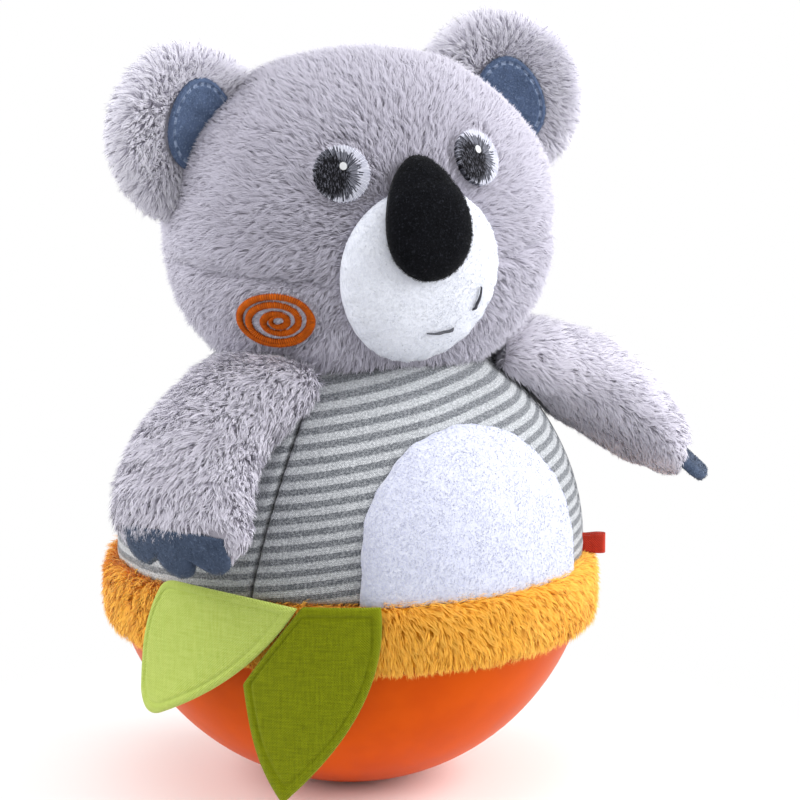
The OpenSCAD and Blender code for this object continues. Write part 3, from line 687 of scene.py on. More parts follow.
class Bench:
    """Turns forms into pieces that ride on the frame's bodies."""

    SAME_SPOT = 2e-6

    def __init__(self, shelf: EffectShelf) -> None:
        """Keeps the shelf of effects and the materials made so far."""
        self.shelf = shelf
        self.materials: dict[str, bpy.types.Material] = {}

    def material(self, finish: Finish) -> bpy.types.Material:
        """The material of a finish, made on first use.

        Args:
            finish: The finish.

        Returns:
            Its material.
        """
        if finish.name not in self.materials:
            self.materials[finish.name] = finish.make(self.shelf)
        return self.materials[finish.name]

    @staticmethod
    def shaped(bm: Form, place: Rule, chart: Rule | None = None) -> None:
        """Moves a form's points to their places and gives it a chart.

        Args:
            bm: The form.
            place: Carries the form's points to places in millimetres.
            chart: Gives each point its place on the cloth's chart.
        """
        points = np.array([v.co[:] for v in bm.verts])
        bm.verts.index_update()
        if chart:
            flat = chart(points)
            layer = bm.loops.layers.uv.new("Cloth")
            for face in bm.faces:
                for loop in face.loops:
                    loop[layer].uv = flat[loop.vert.index]
        for vert, co in zip(bm.verts, place(points) * MM):
            vert.co = co
        bm.normal_update()

    @staticmethod
    def put_in_order(bm: Form) -> None:
        """Sorts a ball's faces, which are made in another order in every run, so that piles fall the same."""
        bm.verts.index_update()
        count = len(bm.verts)
        bm.faces.sort(key=lambda f: sum(v.index for v in f.verts) * count + min(v.index for v in f.verts))

    def ball(self, sides: int, rings: int, place: Place, chart: Place | None = None) -> Form:
        """A closed form from a ball.

        Args:
            sides: Sides around it.
            rings: Rings from its start to its end.
            place: Carries angles around it and shares along it to places.
            chart: Gives their places on the cloth's chart.

        Returns:
            The form.
        """
        bm = bmesh.new()
        bmesh.ops.create_uvsphere(bm, u_segments=sides, v_segments=rings, radius=1)
        self.put_in_order(bm)

        def split(rule: Place) -> Rule:
            """Feeds a rule with angles and shares."""
            return lambda p: rule(np.arctan2(p[:, 1], p[:, 0]), np.arccos(np.clip(p[:, 2], -1, 1)) / math.pi)

        self.shaped(bm, split(place), split(chart) if chart else None)
        bmesh.ops.recalc_face_normals(bm, faces=bm.faces)
        return bm

    def sleeve(self, steps: int, sides: int, place: Place, chart: Place | None = None) -> Form:
        """A tube form from a grid whose long edges are joined.

        Args:
            steps: Steps along it.
            sides: Sides around it.
            place: Carries shares along it and angles around it to places.
            chart: Gives their places on the cloth's chart.

        Returns:
            The form.
        """
        bm = self.panel(steps, sides, lambda u, v: place(u, 2 * math.pi * v),
                        (lambda u, v: chart(u, 2 * math.pi * v)) if chart else None)
        bmesh.ops.remove_doubles(bm, verts=bm.verts, dist=self.SAME_SPOT)
        bmesh.ops.recalc_face_normals(bm, faces=bm.faces)
        return bm

    def panel(self, across: int, along: int, place: Place, chart: Place | None = None) -> Form:
        """An open form from a grid.

        Args:
            across: Steps across it.
            along: Steps along it.
            place: Carries shares across and along to places.
            chart: Gives their places on the cloth's chart.

        Returns:
            The form.
        """
        bm = bmesh.new()
        bmesh.ops.create_grid(bm, x_segments=across, y_segments=along, size=1)

        def split(rule: Place) -> Rule:
            """Feeds a rule with shares."""
            return lambda p: rule((p[:, 0] + 1) / 2, (p[:, 1] + 1) / 2)

        self.shaped(bm, split(place), split(chart) if chart else None)
        return bm

    @staticmethod
    def thicken(bm: Form, thick: float) -> None:
        """Gives an open form, whose faces point outwards, a thickness in millimetres."""
        bmesh.ops.solidify(bm, geom=bm.faces[:], thickness=thick * MM)
        bmesh.ops.recalc_face_normals(bm, faces=bm.faces)

    def piece(self, name: str, bm: Form, finish: Finish, body: str, *stands_for: str,
              bend: Points | None = None) -> Piece:
        """Makes a piece from a form and puts it on a body, unless bend points are given.

        Args:
            name: The piece's name.
            bm: Its form, which is used up.
            finish: Its finish, whose name is passed on as the slot.
            body: The body that it rides on, unless bend points are given.
            stands_for: The nodes that it stands for.
            bend: Where it would start and end to bend away from the toy; if given, it is left off its body,
                unbent.

        Returns:
            The piece.
        """
        mesh = bpy.data.meshes.new(name)
        bm.to_mesh(mesh)
        bm.free()
        piece = bpy.data.objects.new(name, mesh)
        return self.dress(piece, finish, body, finish.name, *stands_for, bend=bend)

    def dress(self, piece: Piece, finish: Finish, body: str, slot: str, *stands_for: str,
              bend: Points | None = None) -> Piece:
        """Gives a new piece its finish and, unless bend points are given, its body.

        Args:
            piece: The piece.
            finish: Its finish.
            body: The body that it rides on, unless bend points are given.
            slot: Not used.
            stands_for: The nodes that it stands for.
            bend: Where it would start and end to bend away from the toy; if given, it is left off its body,
                unbent.

        Returns:
            The piece.
        """
        bpy.context.scene.collection.objects.link(piece)
        mesh = piece.data
        mesh.materials.append(self.material(finish))
        mesh.polygons.foreach_set("use_smooth", np.ones(len(mesh.polygons), bool))
        if bend is None:
            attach(piece, body)
        else:
            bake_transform(piece)
        if stands_for:
            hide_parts(*stands_for)
        LOG.info("%s: %d faces, rides on %s", piece.name, len(mesh.polygons), body)
        return piece


@dataclass(frozen=True)
class Pile:
    """A pile of separate strands that lean, bend over and draw together in tufts.

    Length, width and tuft are in millimetres; lean, bend and stray in degrees. Pull is how far a tuft's tips
    draw together and facing how much of a strand's own direction, not the skin's, its shading takes.
    """

    length: float
    per_mm2: float
    width: float
    lean: float
    bend: float
    tuft: float
    pull: float
    stray: float
    seed: int
    facing: float = 0.38

    LEAST_SHARE = 0.05
    SPIN_SIZE = 9.0
    SPIN_SHARES = (0.9, 0.9, 0.35)
    TILT_TUFT = 9.0
    TILT_OWN = 5.0
    FLATTEST = 82.0
    LENGTH_SPREAD = 0.16
    MID_PULL = 0.35
    MID_WIDTH = 0.8
    ROLL = 32.0
    SHADE_SIZE = 14.0
    SHADE_SPREAD = 0.16
    SHADE_SHARE = 0.12

    def roots(self, skin: Piece, rng: np.random.Generator) -> tuple[Points, Points]:
        """Spreads strand roots evenly over a skin.

        Args:
            skin: The piece that carries the strands.
            rng: The random numbers.

        Returns:
            Places in millimetres, and the skin's directions there.
        """
        mesh = skin.data
        mesh.calc_loop_triangles()
        tris = np.empty(len(mesh.loop_triangles) * 3, np.int32)
        mesh.loop_triangles.foreach_get("vertices", tris)
        points, normals = (np.empty(len(mesh.vertices) * 3, np.float32) for _ in range(2))
        mesh.vertices.foreach_get("co", points)
        mesh.vertices.foreach_get("normal", normals)
        corners = (points.reshape(-1, 3).astype(float) / MM)[tris.reshape(-1, 3)]
        ways = normals.reshape(-1, 3).astype(float)[tris.reshape(-1, 3)]
        spans = np.cross(corners[:, 1] - corners[:, 0], corners[:, 2] - corners[:, 0])
        heap = np.cumsum(np.linalg.norm(spans, axis=1) / 2)
        pick = np.searchsorted(heap, rng.random(int(heap[-1] * self.per_mm2)) * heap[-1])
        a, b = np.sqrt(rng.random(len(pick))), rng.random(len(pick))
        share = np.stack([1 - a, a * (1 - b), a * b], 1)[:, :, None]
        return (corners[pick] * share).sum(1), unit((ways[pick] * share).sum(1))

    def tufts(self, roots: Points, rng: np.random.Generator) -> Points:
        """Gathers the strands into tufts.

        Args:
            roots: The strands' roots.
            rng: The random numbers.

        Returns:
            For each strand, the number of the strand that leads its tuft.
        """
        count = max(1, int(len(roots) / max(1.0, self.per_mm2 * self.tuft**2)))
        leaders = rng.choice(len(roots), count, replace=False)
        tree = KDTree(count)
        for i, spot in enumerate(roots[leaders]):
            tree.insert(spot, i)
        tree.balance()
        return leaders[np.array([tree.find(spot)[1] for spot in roots])]

    def sow(self, name: str, skin: Piece, flow: Place, amount: Place, keep: Rule | None = None) -> Piece:
        """Sows strands on a skin.

        Args:
            name: The name of the new piece.
            skin: The piece that carries the strands.
            flow: The way the strands lie, at places and skin directions.
            amount: The strands' length share there; none grow where it is close to zero.
            keep: Which places belong to this piece.

        Returns:
            The new piece, not dressed yet.
        """
        rng = np.random.default_rng(self.seed)
        roots, normals = self.roots(skin, rng)
        size = amount(roots, normals)
        stays = size > self.LEAST_SHARE
        if keep:
            stays &= keep(roots)
        roots, normals, size = roots[stays], normals[stays], size[stays]
        leader = self.tufts(roots, rng)
        lies = flow(roots, normals)
        lies = unit(lies - (lies * normals).sum(1, keepdims=True) * normals)
        aside = np.cross(normals, lies)
        own = rng.normal(size=len(roots))
        slow, tufted, alone = self.SPIN_SHARES
        spin = np.radians(self.stray) * (slow * drift(roots, self.SPIN_SIZE, self.seed + 1)
                                         + tufted * own[leader] + alone * rng.normal(size=len(roots)))
        lies = lies * np.cos(spin)[:, None] + aside * np.sin(spin)[:, None]
        tilt = self.lean + self.TILT_TUFT * rng.normal(size=len(roots))[leader]
        tilt = tilt + self.TILT_OWN * rng.normal(size=len(roots))
        long = self.length * size * (1 + self.LENGTH_SPREAD * rng.normal(size=len(roots)).clip(-2, 2))

        def step(angle: Points) -> Points:
            """The strands' direction at an angle from the skin's own."""
            angle = np.radians(np.clip(angle, 0.0, self.FLATTEST))[:, None]
            return normals * np.cos(angle) + lies * np.sin(angle)

        first, second = step(tilt), step(tilt + self.bend)
        mid = roots + first * (long * 0.5)[:, None]
        tip = mid + second * (long * 0.5)[:, None]
        draw = (self.pull * (0.7 + 0.3 * own[leader].clip(-1, 1)))[:, None]
        mid += (mid[leader] - mid) * draw * self.MID_PULL
        tip += (tip[leader] - tip) * draw
        wide = unit(np.cross(first, normals))
        roll = np.radians(self.ROLL) * rng.normal(size=len(roots))[:, None]
        wide = wide * np.cos(roll) + np.cross(first, wide) * np.sin(roll)
        half = (self.width / 2 * (0.75 + 0.5 * rng.random(len(roots))))[:, None] * wide
        thin = half * self.MID_WIDTH
        places = np.stack([roots - half, roots + half, mid - thin, mid + thin, tip], 1)
        shade = rng.normal(0.5, self.SHADE_SPREAD, len(roots)) + self.SHADE_SHARE * own[leader]
        shade = shade + self.SHADE_SHARE * drift(roots, self.SHADE_SIZE, self.seed + 2)
        return self.strands(name, places, normals, np.clip(shade, 0.02, 0.98))

    def strands(self, name: str, places: Points, normals: Points, shade: Points) -> Piece:
        """Makes the strands' mesh.

        Args:
            name: The piece's name.
            places: Five points for each strand.
            normals: The skin's direction under each strand.
            shade: Each strand's tint share.

        Returns:
            The piece.
        """
        count = len(places)
        mesh = bpy.data.meshes.new(name)
        mesh.vertices.add(count * 5)
        mesh.vertices.foreach_set("co", (places * MM).astype(np.float32).ravel())
        corners = (np.arange(count)[:, None] * 5 + np.array([0, 1, 3, 2, 2, 3, 4])).astype(np.int32)
        mesh.loops.add(count * 7)
        mesh.loops.foreach_set("vertex_index", corners.ravel())
        mesh.polygons.add(count * 2)
        starts = (np.arange(count)[:, None] * 7 + np.array([0, 4])).astype(np.int32)
        mesh.polygons.foreach_set("loop_start", starts.ravel())
        mesh.update(calc_edges=True)
        chart = mesh.uv_layers.new(name="OFBake")
        along = np.array([0, 0, 0.5, 0.5, 0.5, 0.5, 1.0])
        flat = np.empty((count, 7, 2), np.float32)
        flat[:, :, 0], flat[:, :, 1] = shade[:, None], 0.02 + 0.96 * along
        chart.data.foreach_set("uv", flat.ravel())
        facing = unit(np.cross(places[:, 1] - places[:, 0], places[:, 4] - places[:, 0]))
        soft = unit((1 - self.facing) * normals + self.facing * facing)
        mesh.polygons.foreach_set("use_smooth", np.ones(count * 2, bool))
        mesh.normals_split_custom_set_from_vertices(np.repeat(soft, 5, axis=0).tolist())
        return bpy.data.objects.new(name, mesh)


# The toy


@dataclass(frozen=True)
class BallForm:
    """The ball that the bowl and the body share."""

    height: float = 59.464
    cover_r: float = 58.2
    seam_z: float = 57.1

    def away(self, points: Points) -> Points:
        """How far places are from the ball's middle."""
        return np.linalg.norm(points - np.array([0, 0, self.height]), axis=1)

    def outside(self, points: Points, radius: float) -> Points:
        """Places moved outwards where they are inside a radius of the ball.

        Args:
            points: The places.
            radius: The radius to stay out of.

        Returns:
            The moved places.
        """
        middle = np.array([0, 0, self.height])
        far = np.maximum(self.away(points), radius)[:, None]
        return middle + unit(points - middle) * far

    @staticmethod
    def around(radius: Points, azimuth: Points, height: Points) -> Points:
        """Places on upright rings, at angles in radians from straight ahead and heights above the floor."""
        radius, azimuth, height = np.broadcast_arrays(radius, azimuth, height)
        return np.stack([radius * np.sin(azimuth), -radius * np.cos(azimuth), height], 1)


@dataclass
class Works:
    """The rigid pieces that keep their CAD form: the bowl and what it holds."""

    bench: Bench
    nodes: dict[str, Piece]

    BOWL = PlasticFinish("orange_plastic", rough=0.36, gloss=0.05, main="d25300", deep="c84b00")
    WHITE = PlasticFinish("white_plastic", rough=0.5, gloss=0.4, main="efece4", deep="e6e2d8")
    NYLON = PlasticFinish("tie_nylon", rough=0.45, gloss=0.4, main="e8e6df", deep="dcd9d0")
    IRON = MetalFinish("cast_iron", rough=0.62, gloss=0.4, main="6d6e70", deep="4e4f52")
    SCREW = MetalFinish("screw_steel", rough=0.3, gloss=0.5, main="b9bcc0", deep="8f9297")
    STEEL = MetalFinish("bar_steel", rough=0.22, gloss=0.5, main="c9ccd1", deep="a4a8ae")
    BRASS = MetalFinish("clapper_brass", rough=0.28, gloss=0.5, main="c8a24a", deep="9c7a34")
    FINISHES = {
        "base_bowl": BOWL, "ballast_weight": IRON, "weight_screw": SCREW, "lid_screws": SCREW,
        "chime_holder": WHITE, "base_lid": WHITE, "cover_tie": NYLON, "tone_bars": STEEL,
        "clapper_link": BRASS, "clapper": BRASS,
    }

    def build(self) -> None:
        """Dresses the rigid pieces."""
        for name, finish in self.FINISHES.items():
            mesh = self.nodes[name].data
            mesh.materials.clear()
            mesh.materials.append(self.bench.material(finish))
            LOG.info("%s: dressed as it is", name)


@dataclass
class Body:
    """The stuffed body: wadding, two jersey panels, the tummy patch, the plush band, two leaves and a tag."""

    bench: Bench
    ball: BallForm
    half: float = 51.0
    wad_r: float = 55.9
    wad_lump: float = 0.45
    lid_z: float = 55.4
    neck_r: float = 53.0
    collar_r: float = 22.0
    jersey_thick: float = 0.9
    seam_roll: float = 1.5
    seam_pucker: float = 0.2
    stitch_pitch: float = 3.4
    hem_tuck: float = 1.2
    hem_wide: float = 1.6
    patch_w: float = 63.0
    patch_h: float = 39.5
    patch_area: float = 2150.0
    patch_thick: float = 1.5
    patch_z: float = 64.664
    patch_turn: float = 2.0
    band_middle: tuple[float, float] = (57.5, 49.2)
    band_half: tuple[float, float] = (2.4, 7.6)
    leaf_az: float = -36.0
    leaf_r: float = 62.55
    leaf_l: float = 48.0
    leaf_z: float = 57.9
    leaf_thick: float = 1.3
    leaf_hem: float = 0.86
    tag_wide: float = 10.0
    tag_long: float = 14.0
    tag_fold: float = 0.62
    tag_thick: float = 0.22

    WADDING = FeltFinish("wadding", sheen=0.3, gloss=0.1, main="f0efeb", speck="ffffff", mottle="e4e2dc",
                         depth=0.4)
    JERSEY = JerseyFinish("striped_jersey", rough=0.92, sheen=0.25, gloss=0.1)
    # The piles' base colours and their backings are darker than the tips: painted shade deep in the pile.
    MINKY = PileFinish("minky_pile", sheen=0.2, gloss=0.06, root="d1d4ea", tip="d7daf1", dark="d4d7ee")
    MINKY_BACK = FeltFinish("white_minky", sheen=0.25, gloss=0.06, main="d6d9e8", speck="dfe2f0",
                            mottle="d0d3e2", depth=0.15)
    YELLOW = PileFinish("yellow_pile", sheen=0.3, gloss=0.05, root="f2a628", tip="ffd066", dark="febd45")
    YELLOW_BACK = FeltFinish("yellow_plush", sheen=0.1, gloss=0.05, main="f2a628", speck="f6ae34",
                             mottle="e99a1c", depth=0.3)
    # The cloths' deep colours serve both the yarn's uneven tint and painted shade in the weave's dips.
    LIGHT_LEAF = WovenFinish("light_leaf_cloth", rough=0.92, sheen=0.15, gloss=0.08, main="c4d470",
                             deep="adc050", depth=0.16)
    DARK_LEAF = WovenFinish("dark_leaf_cloth", sheen=0.1, gloss=0.08, main="858e0c", deep="666e02",
                            depth=0.14)
    RIBBON = WovenFinish("red_ribbon", rough=0.7, sheen=0.2, gloss=0.25, main="cf3a22", deep="a82412",
                         depth=0.08)

    MINKY_NAP = Pile(length=0.4, per_mm2=11.0, width=0.13, lean=58.0, bend=20.0, tuft=0.6, pull=0.1,
                     stray=45.0, seed=31, facing=0.0)
    BAND_FUR = Pile(length=3.1, per_mm2=9.5, width=0.22, lean=34.0, bend=36.0, tuft=0.9, pull=0.36,
                    stray=20.0, seed=41)

    LIGHT_EDGES = (((-0.19, 0.01), (-0.43, 0.4), (-0.97, 0.63)),
                   ((-0.97, 0.63), (-1.1, 0.68), (-1.12, 0.54)),
                   ((-1.12, 0.54), (-1.12, 0.2), (-0.97, -0.01)),
                   ((-0.97, -0.01), (-0.94, -0.06), (-0.86, -0.06)),
                   ((-0.86, -0.06), (-0.5, -0.05), (-0.19, 0.01)))
    DARK_EDGES = (((0.215, 0.0), (0.27, 0.5), (-0.27, 1.0)),
                  ((-0.27, 1.0), (-0.42, 0.8), (-0.47, 0.41)),
                  ((-0.47, 0.41), (-0.32, 0.2), (-0.165, 0.0)),
                  ((-0.165, 0.0), (0.02, 0.0), (0.215, 0.0)))
    LIGHT_SEWN = ((-10.0, 0.5), (-24.0, 8.0))
    DARK_SEWN = ((1.0, 1.0), (0.0, 11.0))

    def build(self) -> None:
        """Makes every piece of the body."""
        self.wadding()
        front = self.cover("front_cover", "front_panel", -self.half, self.half)
        back = self.cover("back_cover", "back_panel", self.half, 360.0 - self.half)
        self.patch()
        self.band()
        self.leaf("light_leaf", self.LIGHT_EDGES, self.LIGHT_LEAF, 0.7, self.LIGHT_SEWN)
        self.leaf("dark_leaf", self.DARK_EDGES, self.DARK_LEAF, 0.35, self.DARK_SEWN)
        self.tag()

    def wadding(self) -> None:
        """Makes the lumpy filling under the cover."""
        def place(angle: Points, share: Points) -> Points:
            """A ball with lumps, flat where the lid is."""
            polar = share * math.pi
            way = np.stack([np.sin(polar) * np.cos(angle), np.sin(polar) * np.sin(angle), np.cos(polar)], 1)
            lumps = self.wad_r + self.wad_lump * drift(way * 56, 11.0, 3)
            spots = way * lumps[:, None] + np.array([0, 0, self.ball.height])
            low = spots[:, 2] < self.lid_z
            out = np.maximum(1, np.linalg.norm(spots[low, :2], axis=1))
            spots[low, :2] *= np.minimum(1, self.neck_r / out)[:, None]
            spots[:, 2] = np.maximum(spots[:, 2], self.lid_z)
            return spots

        form = self.bench.ball(96, 72, place)
        piece = self.bench.piece("wadding", form, self.WADDING, "toy", "body_stuffing")

    def cover(self, name: str, node: str, start: float, end: float) -> Piece:
        """Makes one jersey panel, rolled in at its side seams.

        Args:
            name: The panel's name.
            node: The node that it stands for.
            start: Where it starts around the body, in degrees.
            end: Where it ends.

        Returns:
            The panel.
        """
        r, wide = self.ball.cover_r, math.radians(end - start)
        low = math.asin((self.ball.seam_z - 0.4 - self.ball.height) / r)
        high = math.acos(self.collar_r / r)

        def place(u: Points, v: Points) -> Points:
            """A part of the ball with rolled and puckered side edges."""
            lat = low + (high - low) * v
            leans = np.radians(6.0 - 12.0 * np.sin(lat))
            azimuth = math.radians(start) + wide * u + leans * ((u - 1) if end < 180 else -u)
            edge = r * np.cos(lat) * wide * np.minimum(u, 1 - u)
            roll = self.seam_roll * (1 - np.sqrt(1 - np.clip(1 - edge / self.seam_roll, 0, 1) ** 2))
            uneven = 1.7 * drift(np.stack([r * lat, u, v], 1), 12.0, 6)
            pucker = self.seam_pucker * np.sin(r * lat * 2 * math.pi / self.stitch_pitch + uneven)
            hem = self.hem_tuck * np.clip(1 - (lat - low) * r / self.hem_wide, 0, 1) ** 2
            spots = self.ball.around(r * np.cos(lat), azimuth, r * np.sin(lat))
            swell = 0.3 * drift(spots, 26.0, 5) * ease(0, 6, edge)
            far = r - roll + pucker * np.exp(-edge / 2.6) - hem + swell - 0.15
            return spots * (far / r)[:, None] + np.array([0, 0, self.ball.height])

        steps = int(40 + 150 * wide / math.pi)
        bm = self.bench.panel(steps, 72, place)
        bmesh.ops.recalc_face_normals(bm, faces=bm.faces)
        sample = bm.faces[:][len(bm.faces) // 2]
        if sample.normal.dot(sample.calc_center_median() - Vector((0, 0, self.ball.height * MM))) < 0:
            bmesh.ops.reverse_faces(bm, faces=bm.faces)
        self.bench.thicken(bm, self.jersey_thick)
        piece = self.bench.piece(name, bm, self.JERSEY, "toy", node)
        return piece

    def patch(self) -> None:
        """Makes the tummy patch and its short pile.
        """
        middle, seam = (0.0, 74.0), self.ball.seam_z - 0.6
        spin = turned("Z", self.patch_turn)

        def inside(x: Points, z: Points) -> Points:
            """The patch's outline: a circle that runs straight down to the seam."""
            lower = (np.abs(x) < self.patch_w / 2) & (z < self.patch_z)
            return ((np.hypot(x, z - self.patch_z) < self.patch_w / 2) | lower) & (z > seam)

        def place(angle: Points, share: Points) -> Points:
            """A thin pad on the ball."""
            out, tall = thin_pad(share, self.patch_thick, 2.6)
            uneven = 1 + 0.007 * np.sin(9 * angle) + 0.005 * np.sin(23 * angle + 1)
            rim = reach_of(inside, middle, angle) * uneven
            x, z = middle[0] + rim * out * np.cos(angle), middle[1] + rim * out * np.sin(angle)
            far = self.ball.cover_r + 0.1 + tall
            y = -np.sqrt(far**2 - x**2 - (z - self.ball.height) ** 2)
            return np.stack([x, y, z], 1) @ spin.T

        def amount(p: Points, n: Points) -> Points:
            """Only on the side that faces ahead."""
            ahead = n @ np.array([0, -1.0, 0.35]) > 0
            return ahead * (self.ball.away(p) > self.ball.cover_r + 0.4) * 1.0

        form = self.bench.ball(128, 64, place)
        skin = self.bench.piece("tummy_patch_sheet", form, self.MINKY_BACK, "toy", "tummy_patch")
        strands = self.MINKY_NAP.sow("tummy_patch_pile", skin, straight(0.25, 0.0, -1.0), amount)
        self.bench.dress(strands, self.MINKY, "toy", self.MINKY_BACK.name)

    def band(self) -> None:
        """Makes the plush band around the bowl's neck."""
        outlines = [self.outline(edges) for edges in (self.LIGHT_EDGES, self.DARK_EDGES)]

        def place(u: Points, angle: Points) -> Points:
            """A rounded ring."""
            c, s = np.cos(angle), np.sin(angle)
            radius = self.band_middle[0] + self.band_half[0] * np.sign(c) * np.abs(c) ** 0.7
            height = self.band_middle[1] + self.band_half[1] * np.sign(s) * np.abs(s) ** 0.6
            spots = self.ball.around(radius, 2 * math.pi * u, height)
            return spots + 0.25 * drift(spots, 13.0, 8)[:, None] * unit(spots * [1, 1, 0])

        form = self.bench.sleeve(192, 28, place)
        skin = self.bench.piece("band_ring", form, self.YELLOW_BACK, "toy", "plush_band")

        def flow(p: Points, n: Points) -> Points:
            """Combed downwards, and a little sideways on top."""
            side = unit(np.stack([-p[:, 1], p[:, 0], 0 * p[:, 0]], 1))
            low = ease(54.0, 45.0, p[:, 2])[:, None]
            return side * (0.3 - 0.2 * low) + np.array([0, 0, -1.0]) * (0.5 + low)

        def amount(p: Points, n: Points) -> Points:
            """Long outside, short under the leaves and none inside."""
            out = np.hypot(p[:, 0], p[:, 1])
            x = (np.arctan2(p[:, 0], -p[:, 1]) - math.radians(self.leaf_az)) * self.leaf_r
            under = np.zeros(len(p), bool)
            for rim in outlines:
                under |= self.within(np.stack([x, self.leaf_z - p[:, 2]], 1), rim)
            return (out > 57.0) * np.where(under, 0.45, 1.0)

        for half, name in enumerate(("band_pile_right", "band_pile_left")):
            pile = replace(self.BAND_FUR, seed=self.BAND_FUR.seed + half)
            strands = pile.sow(name, skin, flow, amount, keep=lambda p, h=half: (p[:, 0] > 0) == bool(h))
            self.bench.dress(strands, self.YELLOW, "toy", self.YELLOW_BACK.name)

    def outline(self, edges: tuple, steps: int = 60) -> Points:
        """A leaf's outline in millimetres from its bent edges, with so many points to an edge."""
        t = np.linspace(0, 1, steps, endpoint=False)
        return np.concatenate([bent(np.array(edge), t) for edge in edges]) * self.leaf_l

    @staticmethod
    def within(p: Points, rim: Points) -> Points:
        """Which plane places are inside an outline.

        Args:
            p: The places.
            rim: The outline's points.

        Returns:
            True for each place inside.
        """
        inside = np.zeros(len(p), bool)
        for a, b in zip(rim, np.roll(rim, -1, axis=0)):
            crosses, rise = (a[1] > p[:, 1]) != (b[1] > p[:, 1]), b[1] - a[1] + 1e-12
            inside ^= crosses & (p[:, 0] < (b[0] - a[0]) * (p[:, 1] - a[1]) / rise + a[0])
        return inside

    def leaf(self, node: str, edges: tuple, finish: WovenFinish, wave: float, sewn: tuple) -> None:
        """Makes one cloth leaf that hangs from the waist seam.

        Args:
            node: The node that it stands for, which also names its body; the piece is not put on that body.
            edges: Its bent edges.
            finish: Its finish.
            wave: How wavy it is, in millimetres.
            sewn: Where on the flat cut it would start and end to bend away from the seam; these only keep it
                off its body.
        """
        rim = self.outline(edges)
        span = np.linalg.norm(np.roll(rim, -1, axis=0) - rim, axis=1)
        along = np.concatenate([[0], np.cumsum(span)]) / span.sum()
        ring = np.concatenate([rim, rim[:1]])
        middle = rim.mean(axis=0)

        def flat(angle: Points, share: Points) -> Points:
            """Places on the flat cut."""
            out, _ = thin_pad(share, self.leaf_thick, 6.0)
            t = (angle / (2 * math.pi)) % 1.0
            edge = np.stack([np.interp(t, along, ring[:, k]) for k in (0, 1)], 1)
            return middle + (edge - middle) * out[:, None]

        def place(angle: Points, share: Points) -> Points:
            """The cut, bent around the band, with a hem and slow waves."""
            cut = flat(angle, share)
            out, tall = thin_pad(share, self.leaf_thick, 6.0)
            stitched = np.exp(-((out - self.leaf_hem) / 0.022) ** 2)
            hem = -0.35 * stitched + 0.14 * ease(self.leaf_hem, 0.93, out)
            swing = ease(2, 30, cut[:, 1])
            waves = wave * swing * (0.7 + drift(np.stack([cut[:, 0], cut[:, 1], 0 * out], 1), 24.0, 12))
            far = self.leaf_r + 0.1 + tall + np.where(share < PAD_TOP, hem, 0) + waves
            return around(far, cut)

        def around(far: Points | float, cut: Points) -> Points:
            """Places on the cut, bent to a radius around the toy."""
            azimuth = math.radians(self.leaf_az) + cut[:, 0] / self.leaf_r
            return self.ball.around(far, azimuth, self.leaf_z - cut[:, 1])

        form, bend = self.bench.ball(200, 72, place, flat), around(self.leaf_r, np.array(sewn))
        piece = self.bench.piece(f"{node}_sheet", form, finish, node, node, bend=bend)
        ahead = np.roll(rim, -1, axis=0)
        area = 0.5 * abs(float(np.dot(rim[:, 0], ahead[:, 1]) - np.dot(rim[:, 1], ahead[:, 0])))

    def tag(self) -> None:
        """Makes the bare ribbon tag, folded along its length and then over.
        """
        spin = turned("Z", self.half - 90.0)
        start = np.array([self.ball.cover_r - 1.2, 0.0, self.ball.seam_z + 3.0])

        def place(u: Points, v: Points) -> Points:
            """Out from the seam, round and back, with a crease along its top."""
            run, inner = (u - 0.5) * self.tag_long, np.where(v > 0.5, 1.0, 0.0)
            bend = np.clip(run / self.tag_fold, -math.pi / 2, math.pi / 2)
            level = np.maximum(np.abs(run) - self.tag_fold * math.pi / 2, 0)
            gap = self.tag_fold - 0.32 * inner
            x = 6.0 - level + gap * np.cos(bend)
            y = gap * np.sin(bend) + 0.18 * np.sin(run * 0.9) * (1 - inner)
            z = 2.4 - 4.9 * np.abs(2 * v - 1) + 0.15 * np.sin(run * 0.7)
            return (np.stack([x, y, z + 0.2], 1) + start) @ spin.T

        def chart(u: Points, v: Points) -> Points:
            """The ribbon's flat cut."""
            return np.stack([u * self.tag_long, v * self.tag_wide], 1)

        bm = self.bench.panel(48, 20, place, chart)
        bmesh.ops.recalc_face_normals(bm, faces=bm.faces)
        self.bench.thicken(bm, self.tag_thick)
        piece = self.bench.piece("ribbon_loop", bm, self.RIBBON, "toy", "ribbon_tag")


